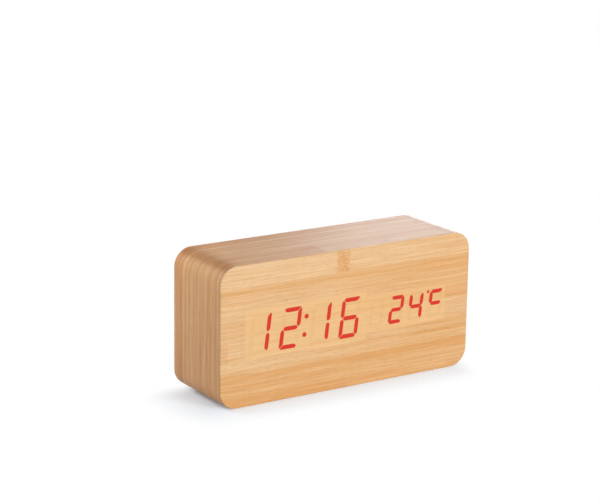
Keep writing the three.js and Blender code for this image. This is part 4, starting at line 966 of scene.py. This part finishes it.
# Battery door: the same black ABS, hooked under the panel at one end and sprung by a tongue at the other
# Three low ribs give a fingertip hold beside the scoop, and a small arrow points to the tongue.
dress(black_abs, "battery_door")
soften("battery_door", moulded_edge)
door_back = extent("battery_door")[1, 1]
grip_height, grip_at, grip_pitch, grip_count, grip_round = 0.2, 3.0, 1.8, 3, 0.35
grip_half = np.array([0.4, 5.0])
pointer_off = 3.6  # past the last rib
grip_depths = door_back + grip_height * raised_shares
grip_middles = np.stack([grip_at + grip_pitch * np.arange(grip_count), np.full(grip_count, middle_z)], -1)
grips = rectangle * grip_half + grip_middles[:, None]
pointer = triangle @ np.array([[0, 1], [-1, 0]]) + grip_middles[-1] + np.array([pointer_off, 0])
raised_grips = plates(grips, grip_round, grip_half[0], raised_steps, grip_depths)
raised_pointer = plates(pointer[None], sign_round, sign_size, raised_steps, grip_depths)
skin("door_grips", [*raised_grips, *raised_pointer], black_abs, body="door")

# Batteries: four AAA cells side by side, turned end for end
# A nickel-plated steel can shows at both ends of a printed sleeve, slate blue and glossy, with a white band
# towards the plus end.
cell_length, cell_radius, nub_radius, nub_height, can_round = 44.5, 5.25, 1.9, 0.9, 0.5
dish_radius, dish_rim, dish_depth = 3.4, 4.2, 0.3  # in the minus end
groove_outer, groove_inner, groove_depth = 3.1, 2.9, 0.2  # round the nub
sleeve_starts, band_starts, sleeve_ends = 0.7, 34.0, 43.2
ink_mark = 1.5
axis_radius = 0.02  # a turned surface ends this close to its axis


def softened(profile, radius):
    """A profile of straight lines whose inner corners are swung round."""
    profile = np.array(profile, float)
    bends = swung(profile[:-2], profile[1:-1], profile[2:], radius).reshape(-1, 2)
    return np.concatenate([profile[:1], bends, profile[-1:]])


def lathe(profile, axis, middle, columns=48):
    """Points [row, column] of a profile of (radius, place) turned about a line along x or y: the radius times
    the cosine and sine of the turn, from the line's other two coordinates."""
    turn = np.linspace(0, 2 * np.pi, columns, endpoint=False)
    first, second = (profile[:, :1] * wave(turn) + at for wave, at in zip((np.cos, np.sin), middle))
    place = np.broadcast_to(profile[:, 1:], first.shape)
    return np.stack([place, first, second] if axis == "x" else [first, place, second], -1)


sleeve, tree, shader = new_material("printed sleeve over a nickel-plated can")
from_minus = add(tree, "Attribute", attribute_name="from_minus").outputs["Fac"]
ink_marks = add(tree, "TexNoise", {
    "Vector": add(tree, "TexCoord").outputs["Object"], "Scale": 1000 / ink_mark, "Detail": 3.0,
})
in_band = add(tree, "Math", {0: from_minus, 1: band_starts}, operation="GREATER_THAN")
bare_ends = add(tree, "Math", {
    0: add(tree, "Math", {0: from_minus, 1: sleeve_starts}, operation="LESS_THAN"),
    1: add(tree, "Math", {0: from_minus, 1: sleeve_ends}, operation="GREATER_THAN"),
}, operation="MAXIMUM")
jacket = add(tree, "Mix", {
    "Factor": ink_marks, "A": linear("#4C6472"), "B": linear("#5C7686"),
}, data_type="RGBA")
for share, colour in ((in_band, "#E3E3DC"), (bare_ends, "#CBC8C0")):
    jacket = add(tree, "Mix", {"Factor": share, "A": jacket, "B": linear(colour)}, data_type="RGBA")
feed(shader, {
    "Base Color": jacket,
    "Metallic": bare_ends,
    "Roughness": add(tree, "MapRange", {"Value": ink_marks, "To Min": 0.25, "To Max": 0.38}),
})
shoulder = cell_length - nub_height
cell_profile = softened([
    (axis_radius, dish_depth), (dish_radius, dish_depth), (dish_rim, 0), (cell_radius, 0),
    (cell_radius, shoulder), (groove_outer, shoulder), (groove_inner, shoulder - groove_depth),
    (nub_radius, shoulder - groove_depth), (nub_radius, cell_length), (axis_radius, cell_length),
], can_round)
for number in range(1, 5):
    low, high = extent(f"battery_cell_{number}")
    plus_right = number % 2
    laid = cell_profile.copy()
    laid[:, 1] = low[0] + laid[:, 1] if plus_right else high[0] - laid[:, 1]
    grid = lathe(laid, "x", (low[1:] + high[1:]) / 2)
    skin(
        f"battery_{number}", [grid], sleeve, stands_for=[f"battery_cell_{number}"],
        attributes={"from_minus": np.repeat(cell_profile[:, 1], grid.shape[1])},
    )

# Battery contacts: stamped spring steel, nickel plated
# Each plate slides into slots of the bay. A plus end meets a pressed dimple and a minus end a conical spring,
# and two plates have a tab through the bay's floor for a lead. Nickel is a bright, slightly warm grey.
nickel = metal("nickel-plated spring steel", ("#B8B4AA", "#D5D2C8"), grain=0.4, roughness=0.25)
plate_thickness, plate_low, plate_high, plate_corner, plate_edge = 0.4, 8.75, 17.9, 0.6, 0.08
tab_half, tab_low, tab_overlap = 1.5, 4.85, 1
cell_y = 13.95
lowest_cell, second_cell, third_cell, highest_cell = 19.2, 30.4, 41.6, 52.8
dimple_reach, dimple_base, dimple_foot, dimple_top, dimple_rise, dimple_round = 2.6, 0.3, 2.2, 1.1, 1.2, 0.5
spring_steps = 24  # for each turn
spring_turns, spring_start, spring_end, spring_wide, spring_narrow, wire_radius = 4, 0.6, 5.0, 3.3, 2.2, 0.3


def stamped(half_width, low, high, back, facing, z):
    """A flat plate across x: rows of a rounded rectangle, a little smaller on both faces."""
    insets = np.array([plate_edge, 0, 0, plate_edge])
    places = np.array([0, plate_edge, plate_thickness - plate_edge, plate_thickness])
    across, up = outline(half_width - insets, (high - low) / 2 - insets, plate_corner - insets, steps=6)
    x = np.broadcast_to(back + facing * places[:, None], across.shape)
    return np.stack([x, up + (low + high) / 2, across + z], -1)


def tube(path, radius, reference, sides=12):
    """Rings round a path: from each point, the radius times the cosine and sine of a turn along two
    directions that are square to the path, the first of them square to a reference direction too."""
    forward = np.gradient(path, axis=0)
    forward /= np.linalg.norm(forward, axis=1, keepdims=True)
    sideways = np.cross(forward, reference)
    sideways /= np.linalg.norm(sideways, axis=1, keepdims=True)
    upward = np.cross(sideways, forward)
    turn = np.linspace(0, 2 * np.pi, sides, endpoint=False)[:, None]
    return path[:, None] + radius * (np.cos(turn) * sideways[:, None] + np.sin(turn) * upward[:, None])


contacts = [  # which way it faces, the heights of its springs and dimples, and whether it has a tab
    ("positive_contact", -1, [], [lowest_cell], True),
    ("bridge_contact_2", 1, [lowest_cell], [second_cell], False),
    ("bridge_contact_1", -1, [second_cell], [third_cell], False),
    ("bridge_contact_3", 1, [third_cell], [highest_cell], False),
    ("negative_contact", -1, [highest_cell], [], True),
]
wind = np.linspace(0, 1, spring_turns * spring_steps + 1)
wind_angle = 2 * np.pi * spring_turns * wind
wind_radius = spring_wide + (spring_narrow - spring_wide) * wind
wind_rise = spring_start + (spring_end - spring_start) * wind
dimple = softened([
    (dimple_reach, dimple_base), (dimple_foot, plate_thickness), (dimple_top, dimple_rise),
    (axis_radius, dimple_rise),
], dimple_round)
for node, facing, springs, dimples, has_tab in contacts:
    low, high = extent(node)
    back = high[0] if facing < 0 else low[0]
    middle = (low[2] + high[2]) / 2
    grids = [stamped((high[2] - low[2]) / 2, plate_low, plate_high, back, facing, middle)]
    for z in dimples:
        pressed = np.stack([dimple[:, 0], back + facing * dimple[:, 1]], -1)
        grids.append(lathe(pressed, "x", (cell_y, z), columns=24))
    for z in springs:
        coil = np.stack([
            back + facing * wind_rise,
            cell_y + wind_radius * np.cos(wind_angle),
            z + wind_radius * np.sin(wind_angle),
        ], -1)
        grids.append(tube(coil, wire_radius, np.array([1, 0, 0])))
    if has_tab:
        grids.append(stamped(tab_half, tab_low, plate_low + tab_overlap, back, facing, middle))
    skin(f"{node}_plated", grids, nickel, stands_for=[node])

# Leads: two stranded wires in PVC from the outer contacts to the control board
# They run along the front of the bay and bend back to their pads. Each is soldered at both ends, and the
# insulation has a satin, faintly waxy skin.
lead_radius = 0.6
tab_x, bay_y, pad_x, pad_y = 52.0, 5.95, -17.17, 10.6


def smooth_route(points, steps=14):
    """A curve through given points: between two of them, a cubic whose slopes at both follow the
    neighbours, with the square roots of the distances as its spacing."""
    points = np.concatenate([[2 * points[0] - points[1]], points, [2 * points[-1] - points[-2]]])
    knots = np.concatenate([[0], np.cumsum(np.sqrt(np.linalg.norm(np.diff(points, axis=0), axis=1)))])
    p0, p1, p2, p3 = (points[i:len(points) - 3 + i, None] for i in range(4))
    t0, t1, t2, t3 = (knots[i:len(knots) - 3 + i, None, None] for i in range(4))
    t = t1 + (t2 - t1) * np.linspace(0, 1, steps, endpoint=False)[:, None]
    a1, a2, a3 = (
        ((end - t) * p + (t - start) * q) / (end - start)
        for p, q, start, end in ((p0, p1, t0, t1), (p1, p2, t1, t2), (p2, p3, t2, t3))
    )
    b1, b2 = ((t2 - t) * a1 + (t - t0) * a2) / (t2 - t0), ((t3 - t) * a2 + (t - t1) * a3) / (t3 - t1)
    curve = ((t2 - t) * b1 + (t - t1) * b2) / (t2 - t1)
    return np.concatenate([curve.reshape(-1, 3), points[-2:-1]])


leads = [  # the heights of its tab and its pad, and its finish
    ("positive_lead", lowest_cell, 30.0, "red PVC, extruded", ("#A61F1B", "#B92A24"), "red_insulation"),
    ("negative_lead", highest_cell, 42.0, "black PVC, extruded", ("#19191A", "#242425"), "black_insulation"),
]
for node, tab_z, pad_z, finish, tones, slot in leads:
    route = smooth_route(np.array([  # from the tab to the pad
        (tab_x, bay_y, tab_z), (46, bay_y, tab_z), (27, bay_y, (tab_z + pad_z) / 2), (-0.6, bay_y, pad_z),
        (-8.885, 4.75, pad_z), (pad_x, 8.425, pad_z), (pad_x, pad_y, pad_z),
    ]))
    pvc = moulded(finish, tones, mottle=4, grain=0.25, roughness=0.4, relief=0.1)
    insulated = tube(route, lead_radius, np.array([0, 0, 1]))
    wire = skin(f"{node}_wire", [insulated], pvc, stands_for=[node])

# Controls: a small board behind the panel with three push switches
# The switches' tops hold round stems, which the buttons press. Board and parts are bought ones. Their black
# nylon is dull, and the acetal of the stems is smoother.
switch_black = moulded(
    "black nylon, moulded", ("#1A1A1B", "#262627"), mottle=2, grain=0.25, roughness=0.5, relief=0.12,
)
stem_black = moulded(
    "black acetal, moulded", ("#202021", "#2B2B2C"), mottle=1, grain=0.2, roughness=0.35, relief=0.06,
)
dress(laminate, "control_board")
dress(nylon, "control_socket")
dress(switch_black, *(f"{key}_switch" for key in keys), "alarm_buzzer")
dress(stem_black, *(f"{key}_stem" for key in keys))

# Buttons: three turned-looking caps of grey ABS, moulded with a flange that keeps them behind the panel
# Each cap's end is dished for a fingertip, and its rim is rounded. The grey is paler and smoother than the
# panel's black.
button_abs = moulded(
    "dark grey ABS, moulded", ("#3A3B3D", "#454648"), mottle=3, grain=0.3, roughness=0.42, relief=0.12,
)
foot_radius, flange_radius, cap_radius = 2.6, 4.0, 3.0
flange_starts, flange_ends = 0.7, 1.7
rim, dish, cap_round = 0.5, 0.35, 0.35
near_axis = 0.01  # small turned pieces end this close to their axis
sink = np.linspace(1, 0.01, 8)  # shares of the dish's radius
for key in keys:
    (left, foot, bottom), (right, top, upper) = extent(f"{key}_button")
    dished = np.stack([(cap_radius - rim) * sink, top - dish * (1 - sink ** 2)], -1)
    body_line = softened([
        (near_axis, foot), (foot_radius, foot), (foot_radius, foot + flange_starts),
        (flange_radius, foot + flange_starts), (flange_radius, foot + flange_ends),
        (cap_radius, foot + flange_ends), (cap_radius, top), dished[0],
    ], cap_round)
    turned = lathe(np.concatenate([body_line, dished[1:]]), "y", ((left + right) / 2, (bottom + upper) / 2))
    skin(
        f"{key}_cap", [turned], button_abs,
        body=f"{key}_key", stands_for=[f"{key}_button"],
    )

# Power jack: a bought socket with a square nylon housing, a round nose in the panel's hole and a plated pin
# The nose stops just inside the panel's face.
jack_low, jack_high = extent("power_jack")
jack_x, _, jack_z = (jack_low + jack_high) / 2
jack_foot, jack_face = jack_low[1], jack_high[1]
housing_half, nose_radius, bore_radius, pin_hole = 4.5, 3.2, 1.85, 0.8
housing_top, bore_floor = 19.2, 13.6
chamfer, nose_chamfer, fillet = 0.3, 0.25, 0.1
square, circular = 12, 2
jack_line = np.array([  # half width, place along y, and how square it is
    (housing_half, jack_foot, square), (housing_half, housing_top - chamfer, square),
    (housing_half - chamfer, housing_top, square), (nose_radius + fillet, housing_top, circular),
    (nose_radius, housing_top + fillet, circular), (nose_radius, jack_face - nose_chamfer, circular),
    (nose_radius - nose_chamfer, jack_face, circular), (bore_radius + chamfer, jack_face, circular),
    (bore_radius, jack_face - chamfer, circular), (bore_radius, bore_floor, circular),
    (pin_hole, bore_floor, circular), (pin_hole, jack_foot, circular),
])
turn = np.linspace(0, 2 * np.pi, 64, endpoint=False)
half, along_y, power = (jack_line[:, i:i + 1] for i in range(3))
# A superellipse: the half width over the power's root of the summed powers of the cosine and the sine.
reach = half / (np.abs(np.cos(turn)) ** power + np.abs(np.sin(turn)) ** power) ** (1 / power)
jack_grid = np.stack([
    jack_x + reach * np.cos(turn), np.broadcast_to(along_y, reach.shape), jack_z + reach * np.sin(turn),
], -1)
skin(
    "jack_socket", [jack_grid], switch_black,
    stands_for=["power_jack"], sharp=30, ring=True,
)
(pin_left, pin_foot, pin_bottom), (pin_right, pin_tip, pin_top) = extent("power_jack_pin")
pin_radius, pin_round = (pin_right - pin_left) / 2, 0.5
pin_line = softened([
    (near_axis, pin_foot), (pin_radius, pin_foot), (pin_radius, pin_tip), (near_axis, pin_tip),
], pin_round)
pin_grid = lathe(pin_line, "y", ((pin_left + pin_right) / 2, (pin_bottom + pin_top) / 2), columns=24)
skin("jack_pin", [pin_grid], nickel, stands_for=["power_jack_pin"])

# Temperature sensor: a bead of black epoxy on two tinned wires, behind the vents
# The bead is dipped, so it is smooth and glossy, and the wires are bright.
sensor_epoxy = moulded(
    "black epoxy, dipped", ("#141416", "#1E1E21"), mottle=1, grain=0.6, roughness=0.22, relief=0.04,
)
bead_low = 15.4
on_wires = past(sensor_epoxy.node_tree, "Y", bead_low, "LESS_THAN")
recolour(sensor_epoxy, on_wires, "#C9C8C3", bare_metal=True)
dress(sensor_epoxy, "temperature_sensor")

# Ribbon cable: six grey PVC wires in one flat strip between the two boards' sockets
# It bends once each way in the space behind the display. The PVC is satin, and its first wire is marked red.
wire_count, wire_pitch, web_half, edge_half = 6, 1.27, 0.3, 0.02
control_end, display_end = np.array([7.0, 23.0]), np.array([-10.0, 46.4])  # back and up
ribbon_x, straight, pull_share = -34.25, 1.7, 0.6
t = np.linspace(0, 1, 40)[:, None]
leave, arrive = control_end - np.array([straight, 0]), display_end + np.array([straight, 0])
pull = np.array([pull_share * (leave[0] - arrive[0]), 0])
# A cubic that leaves and arrives level: its four points weighed by the powers of t and of 1 less t.
bend = (1 - t) ** 3 * leave + 3 * t * (1 - t) ** 2 * (leave - pull) + 3 * t ** 2 * (1 - t) * (arrive + pull)
bend += t ** 3 * arrive
ribbon_line = np.concatenate([[control_end], bend, [display_end]])
across = np.linspace(-0.5, 0.5, wire_count * 10 + 1) * wire_count * wire_pitch
# Each wire is round and the webs between them keep a least thickness.
off_wire = (across / wire_pitch + wire_count / 2) % 1 - 0.5
thick = np.maximum(np.sqrt(np.maximum(0.25 - off_wire ** 2, 0)) * wire_pitch, web_half)
thick[[0, -1]] = edge_half
section_x = np.concatenate([across, across[-2:0:-1]])
section_up = np.concatenate([thick, -thick[-2:0:-1]])
forward = np.gradient(ribbon_line, axis=0)
forward /= np.linalg.norm(forward, axis=1, keepdims=True)
upward = np.stack([-forward[:, 1], forward[:, 0]], -1)
yz = ribbon_line[:, None] + section_up[:, None] * upward[:, None]
x = np.broadcast_to((ribbon_x + section_x)[:, None], (*yz.shape[:2], 1))
ribbon_pvc = moulded(
    "grey PVC, extruded in a strip", ("#8E9093", "#9DA0A3"),
    mottle=3, grain=0.25, roughness=0.45, relief=0.08,
)
red_edge = ribbon_x - (wire_count / 2 - 1) * wire_pitch
recolour(ribbon_pvc, past(ribbon_pvc.node_tree, "X", red_edge, "LESS_THAN"), "#B33A34")
ribbon_grid = np.concatenate([x, yz], -1)
skin("ribbon_strip", [ribbon_grid], ribbon_pvc, stands_for=["ribbon_cable"])

sizes = {"cad": [list(corner) for corner in cad_box], "visual": [list(corner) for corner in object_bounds()]}
